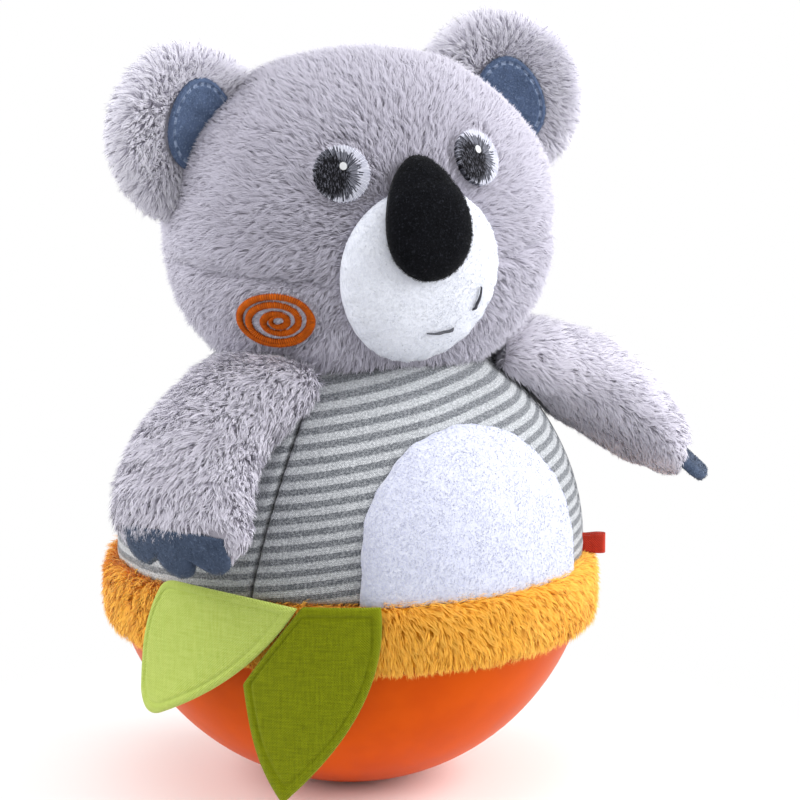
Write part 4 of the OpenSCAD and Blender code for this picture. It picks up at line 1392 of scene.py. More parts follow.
@dataclass(frozen=True)
class HeadForm:
    """The head's rounded form and its place on the body."""

    half: tuple[float, float, float] = (48.5, 40.0, 42.5)
    power: float = 2.2
    middle: tuple[float, float, float] = (0.0, -4.0, 140.464)
    turn: float = -11.0
    tilt: float = -3.8

    def frame(self) -> Points:
        """The head's own axes as a turning matrix."""
        return turned("Z", self.turn) @ turned("Y", self.tilt)

    def to_toy(self, p: Points) -> Points:
        """Carries places from the head's middle to the toy's frame."""
        return p @ self.frame().T + np.array(self.middle)

    def to_head(self, p: Points) -> Points:
        """Carries places from the toy's frame to the head's middle."""
        return (p - np.array(self.middle)) @ self.frame()

    def reach(self, p: Points) -> Points:
        """How far places are from the head's middle, where 1 is its surface."""
        return (np.abs(p / np.array(self.half)) ** self.power).sum(axis=1) ** (1 / self.power)

    def on_head(self, p: Points) -> Points:
        """Places moved onto the head's surface, straight from its middle."""
        return p / self.reach(p)[:, None]

    def share(self, p: Points) -> Points:
        """How far places in the toy's frame are from the head's middle, where 1 is its surface."""
        return self.reach(self.to_head(p))

    def outside(self, p: Points) -> Points:
        """Places in the toy's frame, moved out onto the head's surface where they are inside it."""
        return np.where((self.share(p) < 1)[:, None], self.to_toy(self.on_head(self.to_head(p))), p)

    def outwards(self, p: Points) -> Points:
        """The surface's direction at places on it."""
        half = np.array(self.half)
        return unit(np.sign(p) * np.abs(p / half) ** (self.power - 1) / half)

    def face(self, x: Points, z: Points) -> Points:
        """Places on the face, seen from straight ahead.

        Args:
            x: Places across.
            z: Places upwards.

        Returns:
            Places from the head's middle.
        """
        x, z = np.broadcast_arrays(np.asarray(x, float), np.asarray(z, float))
        rest = 1 - np.abs(x / self.half[0]) ** self.power - np.abs(z / self.half[2]) ** self.power
        return np.stack([x, -self.half[1] * np.maximum(rest, 0) ** (1 / self.power), z], -1)

    @staticmethod
    def sides(p: Points) -> tuple[Points, Points]:
        """The ways sideways and upwards along the surface at one place."""
        across = unit(np.array([-p[1], p[0], 0.0]))
        return across, unit(np.cross(p, across))

    def beside(self, middle: Points, u: Points, v: Points) -> Points:
        """Places on the surface, so far sideways (u) and upwards (v) from a middle one."""
        across, up = self.sides(middle)
        return self.on_head(middle + u[:, None] * across + v[:, None] * up)

    def off(self, p: Points, middle: Points, size: tuple[float, float]) -> Points:
        """How far places are from a middle one, where 1 is an oval's edge.

        Args:
            p: The places.
            middle: The oval's middle.
            size: The oval's width and height.

        Returns:
            Shares of the way to the oval's edge.
        """
        across, up = self.sides(middle)
        away = p - middle
        reach = np.hypot(away @ across / (size[0] / 2), away @ up / (size[1] / 2))
        return np.where(np.linalg.norm(away, axis=1) > 30, FAR_OFF, reach)


@dataclass
class Head:
    """The stuffed head with its muzzle, nose, eyes, smile, cheek spiral and ears."""

    bench: Bench
    ball: BallForm
    form: HeadForm
    muzzle_size: tuple[float, float] = (40.5, 43.0)
    muzzle_z: float = -8.5
    nose_size: tuple[float, float] = (18.4, 27.0)
    nose_z: float = 6.0
    eye_place: tuple[float, float] = (17.2, 17.6)
    eye_size: tuple[float, float] = (13.2, 13.6)
    swirl_place: tuple[float, float] = (-0.69 * 48.5, -0.385 * 42.5)
    swirl_size: tuple[float, float] = (20.0, 14.6)
    swirl_turns: float = 4.1
    skin_sink: float = 2.1
    smile_wide: float = 0.6
    swirl_band: float = 1.6
    ear_spots: tuple[float, float] = (40.0, 25.0)

    # The piles' base colours and their backings are darker than the tips: painted shade deep in the pile.
    GREY = PileFinish("grey_pile", sheen=0.45, gloss=0.05, root="aeaab9", tip="d8d6e3", dark="c2bfcc")
    # painted light: the arms' pile is the head's grey fur made lighter, to stand in for light on the arms
    LIMB = PileFinish("limb_pile", sheen=0.45, gloss=0.05, root="c8c4d2", tip="eae8f2", dark="d7d4df")
    GREY_BACK = FeltFinish("grey_plush", sheen=0.2, gloss=0.06, main="b4b0bb", speck="bebac5",
                           mottle="aaa6b1", depth=0.3)
    # The ears' pile and backing are paler than the head's grey, and the pile is lightened further as painted
    # light on the ears.
    PALE = PileFinish("pale_pile", sheen=0.45, gloss=0.05, root="d8d5e3", tip="f5f4fb", dark="eae8f2")
    PALE_BACK = FeltFinish("pale_plush", sheen=0.2, gloss=0.05, main="ccc9d5", speck="d4d1dc",
                           mottle="c2bfcb", depth=0.3)
    VELOUR = PileFinish("velour_pile", sheen=0.2, gloss=0.06, root="f2f5ff", tip="f9fbff", dark="f5f8ff")
    VELOUR_BACK = FeltFinish("white_velour", sheen=0.25, gloss=0.06, main="eef1fb", speck="f4f7ff",
                             mottle="e8ebf6", depth=0.12)
    NOSE = FeltFinish("black_felt", sheen=0.08, gloss=0.06, main="0f1014", speck="2c2e35", mottle="0a0b0e",
                      depth=0.3)
    NOSE_FUZZ = PileFinish("black_fuzz", rough=0.95, sheen=0.08, gloss=0.06, root="0a0b0e", tip="26282e",
                           dark="0f1014")
    BLUE = StitchedFinish("blue_felt", sheen=0.2, gloss=0.08, main="5d6e8e", speck="7f92b1",
                          mottle="50607d", depth=0.3, thread="97a6c2")
    BLUE_FUZZ = PileFinish("blue_fuzz", rough=0.95, sheen=0.2, gloss=0.08, root="50607d", tip="8497b8",
                           dark="5d6e8e")
    EYE = EyeFinish("eye_thread", rough=0.7, gloss=0.12)
    # The threads' deep colours are painted shade between the stitched threads.
    SMILE = ThreadFinish("grey_thread", rough=0.6, sheen=0.1, gloss=0.3, main="5c5d66", deep="3c3d45")
    RUST = ThreadFinish("rust_thread", rough=0.6, gloss=0.12, main="d4660a", deep="803404")

    FUR = Pile(length=3.4, per_mm2=10.5, width=0.2, lean=32.0, bend=36.0, tuft=0.85, pull=0.27, stray=20.0,
               seed=51)
    VELOUR_NAP = Pile(length=0.45, per_mm2=12.0, width=0.13, lean=58.0, bend=20.0, tuft=0.6, pull=0.1,
                      stray=45.0, seed=61, facing=0.0)
    NOSE_NAP = Pile(length=0.8, per_mm2=9.0, width=0.1, lean=52.0, bend=22.0, tuft=0.8, pull=0.2, stray=170.0,
                    seed=63)

    EAR_SHIFTS = {Side.RIGHT: (2.5, 1.5), Side.LEFT: (-1.5, -1.5)}
    EYE_SHARES = {Side.RIGHT: 1.0, Side.LEFT: 0.87}
    SMILE_SHARES = ((0.0, -0.48), (0.3, -0.53), (0.33, -0.27))
    PAD_TOP = 0.7
    PAD_RIM = 0.66

    def build(self) -> None:
        """Makes every piece of the head."""
        skin = self.skin()
        self.fur(skin)
        self.muzzle()
        self.nose()
        for side in Side:
            self.eye(side)
            Ear(self.bench, self.form, side, self.EAR_SHIFTS[side]).build()
        self.smile()
        self.swirl()

    def muzzle_share(self, p: Points) -> Points:
        """How far places on the head are from the muzzle's middle, where 1 is its edge."""
        wide, tall = self.muzzle_size
        reach = np.hypot(2 * p[:, 0] / wide, 2 * (p[:, 2] - self.muzzle_z) / tall)
        return np.where(p[:, 1] < 0, reach, FAR_OFF)

    def muzzle_rise(self, p: Points) -> Points:
        """How far the muzzle stands out of the head at places, easing off outside its edge."""
        share = self.muzzle_share(p)
        crown = 1 + 3 * np.sqrt(np.maximum(0, 1 - 0.91 * np.minimum(share, 1) ** 4))
        return crown * np.clip((1.4 - share) / 0.4, 0, 1)

    def eye_oval(self, side: Side) -> tuple[float, float]:
        """The width and height of an eye; the toy's left one is stitched narrower."""
        return self.eye_size[0] * self.EYE_SHARES[side], self.eye_size[1]

    def stitched_share(self, p: Points) -> tuple[Points, Points]:
        """How far places are from the nearest eye and from the spiral, where 1 is their edge."""
        eyes = [self.form.off(p, self.eye_middle(side), self.eye_oval(side)) for side in Side]
        return np.minimum(*eyes), self.form.off(p, self.swirl_middle(), self.swirl_size)

    def eye_middle(self, side: Side) -> Points:
        """The middle of an eye on the head."""
        return self.form.face(side * self.eye_place[0], self.eye_place[1])

    def swirl_middle(self) -> Points:
        """The middle of the cheek spiral on the head."""
        return self.form.face(*self.swirl_place)

    def crease(self, p: Points) -> Points:
        """How near places are to the cheeks' gathered seams, from 0 to 1."""
        line = -7.9 + 0.13 * (np.abs(p[:, 0]) - 24) + 0.5 * np.sin(p[:, 0] * 0.9)
        run = ease(20, 24, np.abs(p[:, 0])) * ease(8, -4, p[:, 1])
        return np.exp(-((p[:, 2] - line) / 1.3) ** 2) * run

    def skin(self) -> Piece:
        """Makes the head's cloth skin, a pile's depth inside its outline.

        Returns:
            The skin.
        """
        bm = bmesh.new()
        bmesh.ops.create_icosphere(bm, subdivisions=6, radius=1)

        def place(way: Points) -> Points:
            """The head's form, drawn in for the pile and out under the stitching."""
            p = self.form.on_head(way * np.array(self.form.half))
            eyes, swirl = self.stitched_share(p)
            raised = np.maximum(ease(1.25, 0.85, eyes), ease(1.2, 0.85, swirl))
            sink = self.skin_sink - 1.8 * raised + 2.2 * self.crease(p) + 0.35 * drift(p, 30.0, 21)
            p = p - self.form.outwards(p) * sink[:, None]
            return self.ball.outside(self.form.to_toy(p), self.ball.cover_r + 0.4)

        self.bench.shaped(bm, place)
        bmesh.ops.recalc_face_normals(bm, faces=bm.faces)
        skin = self.bench.piece("head_skin", bm, self.GREY_BACK, "toy", "head")
        return skin

    def fur(self, skin: Piece) -> None:
        """Sows the head's pile in three pieces.

        Args:
            skin: The head's skin.
        """
        frame = self.form.frame()

        def flow(p: Points, n: Points) -> Points:
            """Away from the muzzle, sinking on the lower half."""
            own = self.form.to_head(p)
            away = unit(own - np.array([0, -30.0, self.muzzle_z + 4]))
            sink = 0.25 + 0.5 * ease(10, -30, own[:, 2])
            return (away + sink[:, None] * np.array([0, 0.15, -1.0])) @ frame.T

        def amount(p: Points, n: Points) -> Points:
            """Full length but for the stitching, the seams and where the body is."""
            own = self.form.on_head(self.form.to_head(p))
            eyes, swirl = self.stitched_share(own)
            edge = self.muzzle_share(own)
            size = 1 - 0.55 * self.crease(own)
            size *= np.where(edge < 0.95, 0, 0.55 + 0.45 * ease(0.98, 1.2, edge))
            size *= np.where(eyes < 0.97, 0, 0.4 + 0.6 * ease(1.0, 1.5, eyes))
            size *= np.where(swirl < 1.02, 0.22, 0.5 + 0.5 * ease(1.0, 1.4, swirl))
            across, up = self.ear_spots
            ears = np.stack([np.sign(own[:, 0]) * across, 0 * edge, 0 * edge + up], 1)
            size *= 0.55 + 0.45 * ease(15, 21, np.linalg.norm(own - ears, axis=1))
            return size * (self.ball.away(p) > self.ball.cover_r + 0.8)

        def between(low: float, high: float) -> Rule:
            """Says which places lie between two depths in the head."""
            return lambda p: (self.form.to_head(p)[:, 1] >= low) & (self.form.to_head(p)[:, 1] < high)

        parts = (("front", 10.5, between(-np.inf, -14)), ("middle", 9.5, between(-14, 10)),
                 ("back", 7.2, between(10, np.inf)))
        for number, (name, dense, rule) in enumerate(parts):
            pile = replace(self.FUR, per_mm2=dense, seed=self.FUR.seed + number)
            strands = pile.sow(f"head_pile_{name}", skin, flow, amount, keep=rule)
            self.bench.dress(strands, self.GREY, "toy", self.GREY_BACK.name)

    def pad(self, sides: int, rings: int, middle: Points, rim: Rule,
            section: Callable[[Points, Points], tuple[Points, Points]],
            base: Rule = lambda p: 0 * p[:, 0]) -> Form:
        """A padded form on the head.

        Args:
            sides: Sides around it.
            rings: Rings from its top to its underside.
            middle: Its middle on the head.
            rim: Its edge on the head at angles around it.
            section: Distances out as shares and heights, from angles and shares along its section.
            base: Its underside's height at places on the head, which is none unless given.

        Returns:
            The form, with a chart of places across it from -1 to 1.
        """
        def place(angle: Points, share: Points) -> Points:
            """Carries the section onto the head."""
            out, tall = section(angle, share)
            spot = self.form.on_head(middle + (rim(angle) - middle) * out[:, None])
            return self.form.to_toy(spot + unit(spot) * (base(spot) + tall)[:, None])

        def chart(angle: Points, share: Points) -> Points:
            """Places across the pad."""
            out, _ = section(angle, share)
            return np.stack([out * np.cos(angle), out * np.sin(angle)], 1)

        return self.bench.ball(sides, rings, place, chart)

    def section(self, share: Points, tops: Rule, foot: float) -> tuple[Points, Points]:
        """A pad's section from the middle of its top to the middle of its underside.

        Args:
            share: Shares along the section.
            tops: The top's height at shares of the way out.
            foot: The underside's height.

        Returns:
            Distances out as shares, and heights.
        """
        top = share < self.PAD_TOP
        crown = np.sin(np.clip(share / self.PAD_RIM, 0, 1) * math.pi / 2)
        out = np.clip(np.where(top, crown, (1 - share) / 0.3), 0, 1)
        wall = np.clip((share - self.PAD_RIM) / 0.04, 0, 1)
        return out, np.where(top, tops(out) * (1 - wall) + foot * wall, foot)

    def muzzle(self) -> None:
        """Makes the velour muzzle and its short pile."""
        middle = self.form.face(0.0, self.muzzle_z)

        def rim(angle: Points) -> Points:
            """The muzzle's edge."""
            x, z = egg(*self.muzzle_size, -0.06, angle)
            return self.form.face(x, self.muzzle_z + z)

        def section(angle: Points, share: Points) -> tuple[Points, Points]:
            """A soft crown that tucks in at its sewn edge."""
            def tops(out: Points) -> Points:
                """Heights of the crown with small gathers at the edge."""
                gather = 0.28 * np.sin(26 * angle + 2.0 * np.sin(3 * angle)) * ease(0.72, 0.97, out)
                return 4.1 * np.sqrt(np.maximum(0, 1 - 0.97 * out**4)) - 0.9 + gather * (1 - 0.6 * out**8)
            return self.section(share, tops, -2.0)

        bm = self.pad(128, 72, middle, rim, section)
        skin = self.bench.piece("muzzle_pad", bm, self.VELOUR_BACK, "toy", "muzzle")
        frame = self.form.frame()

        def amount(p: Points, n: Points) -> Points:
            """None on the underside or under the nose."""
            own = self.form.to_head(p)
            wide, tall = self.nose_size
            nose = np.hypot(2 * own[:, 0] / wide, 2 * (own[:, 2] - self.nose_z) / tall)
            return ((n @ frame)[:, 1] < -0.12) * (nose > 0.9) * 1.0

        strands = self.VELOUR_NAP.sow("muzzle_pile", skin, straight(0.1, 0.0, -1.0), amount)
        self.bench.dress(strands, self.VELOUR, "toy", self.VELOUR_BACK.name)

    def nose(self) -> None:
        """Makes the padded felt nose."""
        middle = self.form.face(0.0, self.nose_z)

        def rim(angle: Points) -> Points:
            """The nose's edge."""
            x, z = egg(*self.nose_size, 0.2, angle)
            return self.form.face(x, self.nose_z + z)

        def section(angle: Points, share: Points) -> tuple[Points, Points]:
            """A plump crown with a rounded edge."""
            def tops(out: Points) -> Points:
                """Heights of the crown."""
                return 1.2 + 4.4 * np.sqrt(np.maximum(0, 1 - 0.93 * out**4))
            return self.section(share, tops, -1.0)

        bm = self.pad(96, 56, middle, rim, section, lambda p: 0.2 + self.muzzle_rise(p) - 0.9)
        skin = self.bench.piece("nose_pad", bm, self.NOSE, "toy", "nose")
        strands = self.NOSE_NAP.sow("nose_fuzz", skin, straight(0.3, 0.0, -1.0),
                                    lambda p, n: (n @ self.form.frame())[:, 1] < 0.2)
        self.bench.dress(strands, self.NOSE_FUZZ, "toy", self.NOSE.name)

    def eye(self, side: Side) -> None:
        """Makes one stitched eye.

        Args:
            side: Which of the two.
        """
        middle = self.eye_middle(side)

        def rim(angle: Points) -> Points:
            """The eye's edge, a little ragged at its threads."""
            ragged = 1 + 0.02 * np.sin(42 * angle + 2 * np.sin(5 * angle))
            wide, tall = (size / 2 * ragged for size in self.eye_oval(side))
            return self.form.beside(middle, wide * np.cos(angle), tall * np.sin(angle))

        def section(angle: Points, share: Points) -> tuple[Points, Points]:
            """A low crown with the threads' ridges."""
            def tops(out: Points) -> Points:
                """Heights of the threads."""
                ridges = 0.05 * np.cos(self.EYE.threads * angle) * out
                return 0.45 + 0.5 * np.sqrt(np.maximum(0, 1 - 0.9 * out**4)) + ridges
            return self.section(share, tops, -1.2)

        bm = self.pad(4 * self.EYE.threads, 32, middle, rim, section)
        self.bench.piece(f"{side.word}_eye_stitching", bm, self.EYE, "toy", f"{side.word}_eye")

    def thread(self, path: Rule, width: Rule, thick: Rule, steps: int, length: float) -> Form:
        """A stitched band along a path on the head.

        Args:
            path: Places on the head at shares along it, already at the band's height.
            width: The band's width at shares along it.
            thick: Its thickness there.
            steps: Steps along it.
            length: Its length, for its chart.

        Returns:
            The form.
        """
        def place(u: Points, angle: Points) -> Points:
            """A flat oval around the path."""
            spot, nudge = path(u), 1e-3
            along = unit(path(np.minimum(u + nudge, 1)) - path(np.maximum(u - nudge, 0)))
            out = self.form.outwards(spot)
            across = unit(np.cross(out, along))
            return self.form.to_toy(spot + across * (width(u) / 2 * np.cos(angle))[:, None]
                                    + out * (thick(u) / 2 * np.sin(angle))[:, None])

        return self.bench.sleeve(steps, 14, place, lambda u, angle: np.stack([u * length, np.cos(angle)], 1))

    def smile(self) -> None:
        """Makes the smile's stitches, which dip into the velour between them."""
        keys = np.array(self.SMILE_SHARES) * np.array(self.muzzle_size)

        def path(u: Points) -> Points:
            """The bent line of the smile on the muzzle."""
            flat = bent(keys, u)
            spot = self.form.face(flat[:, 0], flat[:, 1])
            sunk = 1.5 * ease(0.3, 0.38, u) * ease(0.76, 0.66, u)
            rise = self.muzzle_rise(spot) - 0.5 + 0.25 * np.abs(np.sin(5 * math.pi * u)) - sunk
            return spot + self.form.outwards(spot) * rise[:, None]

        def width(u: Points) -> Points:
            """A line that narrows at its ends."""
            return self.smile_wide * np.minimum(1, 7 * np.minimum(u, 1 - u)) + 0.05

        bm = self.thread(path, width, lambda u: 0.8 + 0 * u, 160, 20.0)
        self.bench.piece("smile_thread", bm, self.SMILE, "toy", "smile_stitches")

    def swirl(self) -> None:
        """Makes the cheek's stitched spiral."""
        middle = self.swirl_middle()

        def path(u: Points) -> Points:
            """The spiral from its middle outwards."""
            wound = self.swirl_turns * np.clip(u, 0, 1) ** 0.62
            share = np.clip(0.2 + 0.33 * (wound - 1), 0.2, 0.9)
            angle, aside = wound * 2 * math.pi, 1.3 * (1 - share / 0.9)
            wide, tall = (size / 2 * share for size in self.swirl_size)
            spot = self.form.beside(middle, wide * np.cos(angle) + aside, tall * np.sin(angle))
            return spot + self.form.outwards(spot) * 0.55

        def width(u: Points) -> Points:
            """A band that narrows at its ends, with ragged stitches."""
            ends = np.minimum(1, np.sqrt(np.clip(np.minimum(u * 14, (1 - u) * 22), 0, 1)))
            return (self.swirl_band + 0.3 * np.sin(u * 1760 + 2 * np.sin(u * 97))) * ends + 0.02

        bm = self.thread(path, width, lambda u: 1.0 + 0.1 * np.sin(u * 2 * math.pi * 280), 1700, 118.0)
        self.bench.piece("cheek_swirl_thread", bm, self.RUST, "toy", "cheek_swirl")


@dataclass
class Ear:
    """One plump ear with its felt lining."""

    bench: Bench
    form: HeadForm
    side: Side
    shift: tuple[float, float]
    radius: float = 22.5
    rim: float = 5.5
    swell: float = 3.0
    hollow: float = 1.5
    spot: tuple[float, float, float] = (41.0, 4.0, 26.0)
    turn: float = 12.0
    lining: tuple[float, float] = (19.0, 23.0)
    lining_egg: float = 0.18
    lining_thick: float = 1.5
    skin_sink: float = 2.4

    FUR = replace(Head.FUR, lean=40.0, bend=32.0, pull=0.34, seed=71, facing=0.28)
    FELT_NAP = Pile(length=0.55, per_mm2=8.0, width=0.1, lean=55.0, bend=20.0, tuft=0.7, pull=0.2,
                    stray=170.0, seed=81)
    FRONT = ((14.0, 2.75), (11.5, 2.1), (9.5, 1.5), (7.0, 1.1), (3.5, 1.0), (0.0, 1.0))

    def frame(self) -> tuple[Points, Points, Points]:
        """The right ear's axes, its middle in the head, and the signs that carry it to this ear's side."""
        axes = turned("Z", self.turn) @ turned("X", 90)
        return axes, np.array([-self.spot[0], *self.spot[1:]]), np.array([-self.side, 1, 1])

    def to_toy(self, p: Points) -> Points:
        """Carries places from the ear's own middle, its hollow upwards, to the toy's frame."""
        axes, middle, signs = self.frame()
        return self.form.to_toy((p @ axes.T + middle) * signs)

    def to_ear(self, p: Points) -> Points:
        """Carries places from the toy's frame to the ear's own middle."""
        axes, middle, signs = self.frame()
        return (self.form.to_head(p) * signs - middle) @ axes

    def way_to_toy(self, way: Points) -> Points:
        """Carries directions from the ear's own axes to the toy's."""
        return self.to_toy(way) - self.to_toy(0 * way)

    def build(self) -> None:
        """Makes the ear, its pile, its lining and the lining's fuzz."""
        cup, round_r = self.radius - self.rim, self.rim - self.skin_sink
        back = [(cup * s, -self.rim - self.swell * (1 - s * s) + self.skin_sink)
                for s in np.linspace(0, 1, 12)[:-1]]
        turns = np.radians(np.linspace(-90, 100, 26))
        edge = [(cup + round_r * math.cos(t), round_r * math.sin(t)) for t in turns]
        keys = np.array([*back, *edge, *self.FRONT])
        run = np.concatenate([[0], np.cumsum(np.linalg.norm(np.diff(keys, axis=0), axis=1))])

        def place(angle: Points, share: Points) -> Points:
            """The ear's section carried around its middle."""
            out, tall = (np.interp(share * run[-1], run, keys[:, k]) for k in (0, 1))
            out = out * (1 + 0.012 * np.sin(5 * angle + self.side))
            return self.to_toy(np.stack([out * np.cos(angle), out * np.sin(angle), tall], 1))

        form, word = self.bench.ball(96, 80, place), self.side.word
        skin = self.bench.piece(f"{word}_ear_skin", form, Head.PALE_BACK, "toy", f"{word}_ear")

        def flow(p: Points, n: Points) -> Points:
            """Outwards over the rim and backwards, sinking a little."""
            own = self.to_ear(p)
            way = unit(own * np.array([1, 1, 0])) + np.array([0, 0, -0.5])
            return self.way_to_toy(way) + np.array([0, 0, -0.35])

        def amount(p: Points, n: Points) -> Points:
            """None under the lining and inside the head."""
            own, head = self.to_ear(p), self.form.to_head(p)
            lined = self.lining_share(own) < 0.97
            surface = np.linalg.norm(self.form.on_head(head), axis=1)
            buried = np.linalg.norm(head, axis=1) < surface - 1.5
            near = 0.55 + 0.45 * ease(0.95, 1.35, self.lining_share(own))
            return np.where((lined & (own[:, 2] > 0)) | buried, 0, np.where(own[:, 2] > 0, near, 1))

        pile = replace(self.FUR, seed=self.FUR.seed + self.side)
        strands = pile.sow(f"{word}_ear_pile", skin, flow, amount)
        # The ears wear the pale pile, lightened in part as painted light.
        self.bench.dress(strands, Head.PALE, "toy", Head.PALE_BACK.name)
        self.felt()

    def lining_share(self, own: Points) -> Points:
        """How far places in the ear are from the lining's middle, where 1 is its edge."""
        own = own[:, :2] - np.array(self.shift)
        across, up = (2 * own[:, k] / self.lining[k] for k in (0, 1))
        return np.hypot(across / (1 - self.lining_egg * np.clip(up, -1, 1)), up)

    def felt(self) -> None:
        """Makes the felt lining with a stitched line inside its edge."""
        def section(share: Points) -> tuple[Points, Points]:
            """A thin pad with a groove where it is stitched."""
            out, tall = thin_pad(share, self.lining_thick, 8.0)
            groove = 0.35 * np.exp(-((out - Head.BLUE.line_share) / 0.03) ** 2) * (share < PAD_RIM)
            return out, tall - groove

        def place(angle: Points, share: Points) -> Points:
            """The lining in the ear's hollow, slightly cupped."""
            out, tall = section(share)
            x, y = egg(*self.lining, self.lining_egg, angle)
            x, y = x * out + self.shift[0], y * out + self.shift[1]
            return self.to_toy(np.stack([x, y, self.hollow + 0.1 + tall + 0.8 * out**2], 1))

        def chart(angle: Points, share: Points) -> Points:
            """Places across the felt, from -1 to 1."""
            out, _ = section(share)
            return np.stack([out * np.cos(angle), out * np.sin(angle)], 1)

        form, word = self.bench.ball(96, 56, place, chart), self.side.word
        piece = self.bench.piece(f"{word}_lining_felt", form, Head.BLUE, "toy", f"{word}_ear_lining")
        front = self.way_to_toy(np.array([[0, 0, 1.0]]))[0]
        pile = replace(self.FELT_NAP, seed=self.FELT_NAP.seed + self.side)
        strands = pile.sow(f"{word}_lining_fuzz", piece, straight(0.3, 0.0, -1.0),
                           lambda p, n: n @ front > 0.0)
        self.bench.dress(strands, Head.BLUE_FUZZ, "toy", Head.BLUE.name)
        width, height = (size * MM for size in self.lining)


@dataclass
class Arm:
    """One stuffed arm with its felt claws."""

    bench: Bench
    ball: BallForm
    form: HeadForm
    side: Side
    lift: float
    shrink: float
    claw_back: float
    claw_rise: float
    claw_slope: float
    length: float = 57.0
    width: float = 40.0
    thick: float = 23.0
    azimuth: float = 67.0
    shoulder: tuple[float, float, float] = (36.0, 0.0, 106.712)
    skin_sink: float = 1.6
    claw_wide: float = 9.0
    claw_thick: float = 2.6
    claw_stretch: float = 1.14
    claw_flat: tuple[float, float] = (25.6, 10.7)
    claw_area: float = 240.0

    PATH = ((0, 0), (0.07, -0.03), (0.2, -0.11), (0.38, -0.25), (0.54, -0.42), (0.645, -0.58), (0.68, -0.68))
    WIDTHS = (0.72, 0.78, 0.82, 0.83, 0.92, 0.98, 0.76)
    THICKS = (0.7, 0.85, 0.98, 1.06, 1, 0.84, 0.5)
    SWAYS = (2.0, 1.2, -1.0, -3.6, -2.6, 0.4, 2.0)
    BEND = ((0, 0, 0), (34, 0, -28))
    FUR = replace(Head.FUR, length=3.5, per_mm2=11.5, lean=42.0, bend=30.0, pull=0.25, stray=18.0, seed=91,
                  facing=0.28)
    CLAW_NAP = replace(Ear.FELT_NAP, length=0.6, lean=52.0, seed=95)
    CLAW = FeltFinish("slate_felt", sheen=0.2, gloss=0.08, main="465268", speck="616f86", mottle="3a465a",
                      depth=0.25)
    # The fuzz's base colour is darker than its tip: painted shade deep in the nap.
    CLAW_FUZZ = PileFinish("slate_fuzz", rough=0.95, sheen=0.2, gloss=0.08, root="3a465a", tip="68768e",
                           dark="465268")

    def to_toy(self, p: Points) -> Points:
        """Carries places from the shoulder seam, outwards along +X, to the toy's frame."""
        lifted = p @ turned("Y", -self.lift).T + np.array(self.shoulder)
        return lifted @ turned("Z", self.side * self.azimuth - 90).T

    def to_arm(self, p: Points) -> Points:
        """Carries places from the toy's frame to the shoulder seam."""
        own = p @ turned("Z", self.side * self.azimuth - 90) - np.array(self.shoulder)
        return own @ turned("Y", -self.lift)

    def middle(self, t: Points) -> tuple[Points, Points]:
        """The arm's middle line and its way.

        Args:
            t: Places along it, from 0 to its last key.

        Returns:
            Places from the shoulder seam, and directions.
        """
        keys = np.array([(x, 0, z) for x, z in self.PATH]) * self.length * self.shrink
        keys[:, 1] = np.array(self.SWAYS) * -self.side
        spot = curve_through(keys, t)
        last = len(keys) - 1.0
        ahead, behind = np.minimum(t + 0.05, last), np.maximum(t - 0.05, 0.0)
        return spot, unit(curve_through(keys, ahead) - curve_through(keys, behind))

    def hand(self) -> tuple[Points, Points, Points]:
        """The end of the arm's middle line, its way there, and the way out of the back of the hand."""
        end, way = (v[0] for v in self.middle(np.array([len(self.PATH) - 1.0])))
        return end, way, np.array([-way[2], 0, way[0]])

    def build(self) -> None:
        """Makes the arm, its pile and its claws."""
        body, last = f"{self.side.word}_arm", len(self.PATH) - 1.0
        end, way, out = self.hand()

        def place(angle: Points, share: Points) -> Points:
            """The arm's rings along its middle, drawn in for the pile."""
            t = np.clip((share - 0.06) / 0.84, 0, 1) * last
            start, tip = np.clip(share / 0.06, 0, 1), np.clip((share - 0.9) / 0.1, 0, 1)
            spot, along = self.middle(t)
            cap = np.sqrt(np.maximum(0, 1 - (1 - start) ** 2)) * np.sqrt(np.maximum(0, 1 - tip**2))
            sizes = curve_through(np.array([self.WIDTHS, self.THICKS]).T, t)
            wide = np.maximum(self.width / 2 * sizes[:, 0] - self.skin_sink, 2) * cap
            deep = np.maximum(self.thick / 2 * sizes[:, 1] - self.skin_sink, 0.5) * cap
            spot = spot + along * (self.skin_sink * tip)[:, None]
            face = np.stack([-along[:, 2], 0 * t, along[:, 0]], 1)
            ring = spot + (face * (deep * np.sin(angle))[:, None])
            ring[:, 1] += wide * np.cos(angle)
            ring += 0.4 * drift(ring, 17.0, 90 + self.side)[:, None] * face * cap[:, None]
            return self.ball.outside(self.form.outside(self.to_toy(ring)), self.ball.cover_r + 0.5)

        form, bend = self.bench.ball(80, 96, place), self.to_toy(np.array(self.BEND, float))
        skin = self.bench.piece(f"{body}_skin", form, Head.GREY_BACK, body, body, bend=bend)

        def flow(p: Points, n: Points) -> Points:
            """Towards the hand, hanging a little."""
            own = self.to_arm(p)
            t = np.clip(-own[:, 2] / (0.68 * self.length), 0, 1) * last
            lie = self.middle(t)[1] + 0.25 * own[:, 1:2] / self.width * np.array([0, 1.0, 0])
            return self.to_toy(lie) - self.to_toy(0 * lie) + np.array([0, 0, -0.3])

        def amount(p: Points, n: Points) -> Points:
            """None where the arm lies on the body."""
            near = self.ball.away(p)
            inner = (n * unit(p - np.array([0, 0, self.ball.height]))).sum(1) < -0.3
            own = self.to_arm(p) - end
            hand = ease(2, -14, own @ way)
            clawed = (own @ way > -self.claw_back - 0.2) & (own @ out > 0) & (np.abs(own[:, 1]) < 13.5)
            size = np.where(inner, 0.6, 1.0) * np.where(self.form.share(p) < 1.05, 0.4, 1.0)
            return np.where((near < self.ball.cover_r + 1.2) | clawed, 0, size) * (0.5 + 0.5 * hand)

        pile = replace(self.FUR, seed=self.FUR.seed + self.side)
        strands = pile.sow(f"{body}_pile", skin, flow, amount)
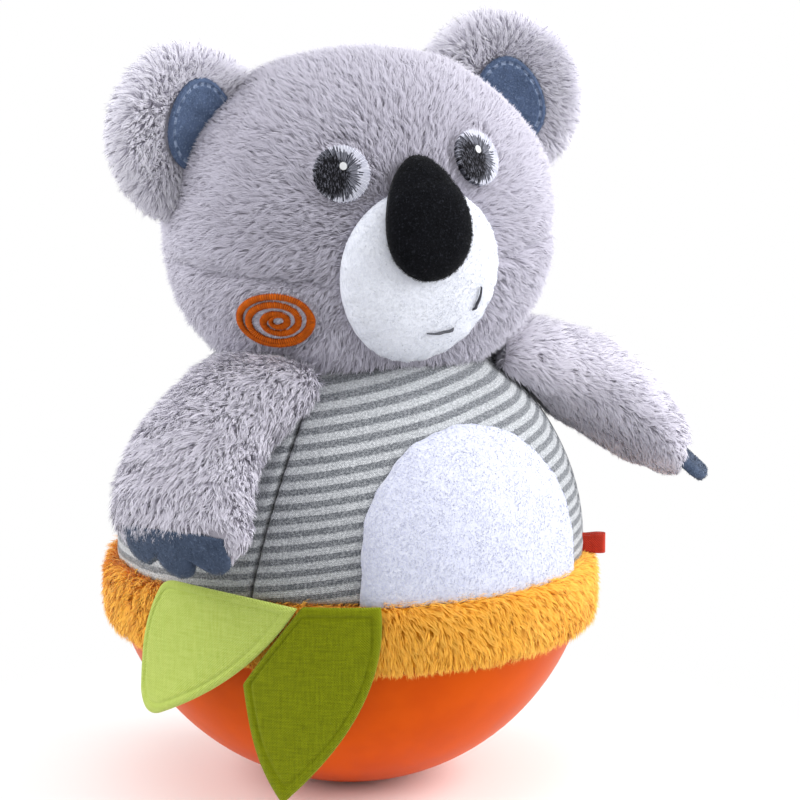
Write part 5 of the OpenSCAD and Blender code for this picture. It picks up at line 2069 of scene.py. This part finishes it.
        # The arms wear the lightened copy of the grey pile: painted light.
        self.bench.dress(strands, Head.LIMB, body, Head.GREY_BACK.name, bend=bend)
        self.claws(body)

    def claws(self, body: str) -> None:
        """Makes the row of three felt claws at the hand's end.

        Args:
            body: The body that they ride on.
        """
        spot, way, out = self.hand()
        wide, tip, pitch = self.claw_wide, 0.03 * self.length, self.claw_wide * 0.92
        rows = [(k * pitch, tip + 7.5 - wide / 2 - abs(k) * pitch * 0.25) for k in (-1, 0, 1)]

        def inside(x: Points, y: Points) -> Points:
            """The claws' scalloped outline."""
            made = np.zeros(x.shape, bool)
            for across, reach in rows:
                made |= np.hypot(x - across, y - reach) < wide / 2
                made |= (np.abs(x - across) < wide / 2) & (y < reach) & (y > -1.5)
            return made

        def place(angle: Points, share: Points) -> Points:
            """A thick pad along the hand's way."""
            flat, tall = thin_pad(share, self.claw_thick, 2.0)
            rim = reach_of(inside, (0.0, 2.0), angle)
            x, y = self.claw_stretch * rim * flat * np.cos(angle), 2.0 + rim * flat * np.sin(angle)
            puff = tall + self.claw_rise + self.claw_slope * y - 0.012 * x**2
            own = spot + (y - self.claw_back)[:, None] * way + puff[:, None] * out
            own[:, 1] += x
            return self.to_toy(own)

        form, word = self.bench.ball(144, 56, place), self.side.word
        piece = self.bench.piece(f"{word}_claw_felt", form, self.CLAW, body, f"{word}_claws")
        pile = replace(self.CLAW_NAP, seed=self.CLAW_NAP.seed + self.side)
        strands = pile.sow(f"{word}_claw_fuzz", piece, straight(0.3, 0.1, -1.0),
                           lambda p, n: 1.0 + 0 * p[:, 0])
        self.bench.dress(strands, self.CLAW_FUZZ, body, self.CLAW.name)
        width, height = (size * MM for size in self.claw_flat)


# The studio


@dataclass(frozen=True)
class Lamp:
    """A soft lamp that looks at the toy's middle."""

    name: str
    azimuth: float
    elevation: float
    distance: float
    size: float
    power: float


@dataclass
class Studio:
    """The camera, the pale floor, the lamps and the white surroundings."""

    azimuth: float = -33.0
    elevation: float = 13.0
    distance: float = 0.9
    sensor: float = 36.0
    lens: float = 162.0
    target: tuple[float, float, float] = (0.0, 0.0, 0.0595)
    nudge: tuple[float, float] = (50 / 3600, 140 / 3600)
    lit: tuple[float, float, float] = (0.0, 0.0, 0.09)
    ambient: float = 0.74
    floor_half: float = 3.0
    floor_fade: tuple[float, float] = (0.05, 0.13)
    lamps: tuple[Lamp, ...] = (
        Lamp("lamp_right", azimuth=52.0, elevation=26.0, distance=0.75, size=0.7, power=7.4),
        Lamp("lamp_left", azimuth=-114.0, elevation=26.0, distance=0.75, size=0.7, power=4.0),
        Lamp("lamp_top", azimuth=-60.0, elevation=78.0, distance=0.8, size=0.8, power=1.1),
        Lamp("lamp_front", azimuth=-30.0, elevation=16.0, distance=1.0, size=0.9, power=0.5),
    )

    @staticmethod
    def way(azimuth: float, elevation: float) -> Vector:
        """A direction from the toy: degrees around from straight ahead, towards its left, and degrees up."""
        az, el = math.radians(azimuth), math.radians(elevation)
        return Vector((math.sin(az) * math.cos(el), -math.cos(az) * math.cos(el), math.sin(el)))

    def build(self) -> None:
        """Sets up the studio."""
        scene = bpy.context.scene
        scene.view_settings.view_transform = "Standard"
        self.camera(scene)
        self.floor(scene)
        for lamp in self.lamps:
            data = bpy.data.lights.new(lamp.name, "AREA")
            data.shape, data.size, data.energy = "DISK", lamp.size, lamp.power
            obj = bpy.data.objects.new(lamp.name, data)
            look = self.way(lamp.azimuth, lamp.elevation)
            obj.matrix_world = (Matrix.Translation(Vector(self.lit) + look * lamp.distance)
                                @ look.to_track_quat("Z", "Y").to_matrix().to_4x4())
            scene.collection.objects.link(obj)
        self.surroundings(scene)

    def camera(self, scene: bpy.types.Scene) -> None:
        """Sets the camera where the photograph was taken from.

        Args:
            scene: The scene that gets it.
        """
        data = bpy.data.cameras.new("camera")
        data.sensor_fit, data.sensor_width, data.lens = "HORIZONTAL", self.sensor, self.lens
        look = self.way(self.azimuth, self.elevation)
        right = Vector((math.cos(math.radians(self.azimuth)), math.sin(math.radians(self.azimuth)), 0.0))
        up = look.cross(right)
        spot = Vector(self.target) + look * self.distance
        back = (look - right * self.nudge[0] - up * self.nudge[1]).normalized()
        level = Vector((0, 0, 1)).cross(back).normalized()
        obj = bpy.data.objects.new("camera", data)
        axes = Matrix((level, back.cross(level), back)).transposed()
        obj.matrix_world = Matrix.Translation(spot) @ axes.to_4x4()
        scene.collection.objects.link(obj)
        scene.camera = obj

    def floor(self, scene: bpy.types.Scene) -> None:
        """Lays the pale floor, which fades out around the toy.

        Args:
            scene: The scene that gets it.
        """
        bm = bmesh.new()
        bmesh.ops.create_grid(bm, x_segments=1, y_segments=1, size=self.floor_half)
        mesh = bpy.data.meshes.new("floor")
        bm.to_mesh(mesh)
        bm.free()
        material = bpy.data.materials.new("floor")
        material.use_nodes = True
        shader = material.node_tree.nodes["Principled BSDF"]
        w = Wiring(material.node_tree)
        place = w.add("ShaderNodeTexCoord").outputs["Object"]
        away = w.add("ShaderNodeVectorMath", {0: place}, operation="LENGTH").outputs["Value"]
        seen = w.sum("SUBTRACT", 1.0, w.spread(away, *self.floor_fade))
        w.join(shader, {"Alpha": seen, "Base Color": paint("fbfbfb"), "Roughness": 0.9,
                        "Specular IOR Level": 0.1})
        mesh.materials.append(material)
        obj = bpy.data.objects.new("floor", mesh)
        scene.collection.objects.link(obj)

    def surroundings(self, scene: bpy.types.Scene) -> None:
        """Sets white surroundings that light the toy only softly.

        Args:
            scene: The scene that gets them.
        """
        world = bpy.data.worlds.new("surroundings")
        world.use_nodes = True
        w = Wiring(world.node_tree)
        ray = w.add("ShaderNodeLightPath").outputs
        seen = w.sum("MAXIMUM", w.sum("MAXIMUM", ray["Is Camera Ray"], ray["Is Glossy Ray"]),
                     ray["Is Transmission Ray"])
        strength = w.sum("MULTIPLY_ADD", seen, 1.0 - self.ambient, self.ambient)
        w.join(world.node_tree.nodes["Background"], {"Color": (1, 1, 1, 1), "Strength": strength})
        scene.world = world


def main() -> None:
    """Builds the toy and its studio around the frame."""
    logging.basicConfig(level=logging.INFO, format="%(name)s: %(message)s")
    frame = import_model()
    bench, ball, form = Bench(EffectShelf()), BallForm(), HeadForm()
    Studio().build()
    Works(bench, frame["nodes"]).build()
    Body(bench, ball).build()
    Head(bench, ball, form).build()
    Arm(bench, ball, form, Side.RIGHT, lift=0.0, shrink=0.93, claw_back=3.0, claw_rise=5.6,
        claw_slope=-0.5).build()
    Arm(bench, ball, form, Side.LEFT, lift=12.0, shrink=0.96, claw_back=0.5, claw_rise=3.0,
        claw_slope=0.3).build()
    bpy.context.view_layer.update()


if __name__ == "__main__":
    main()
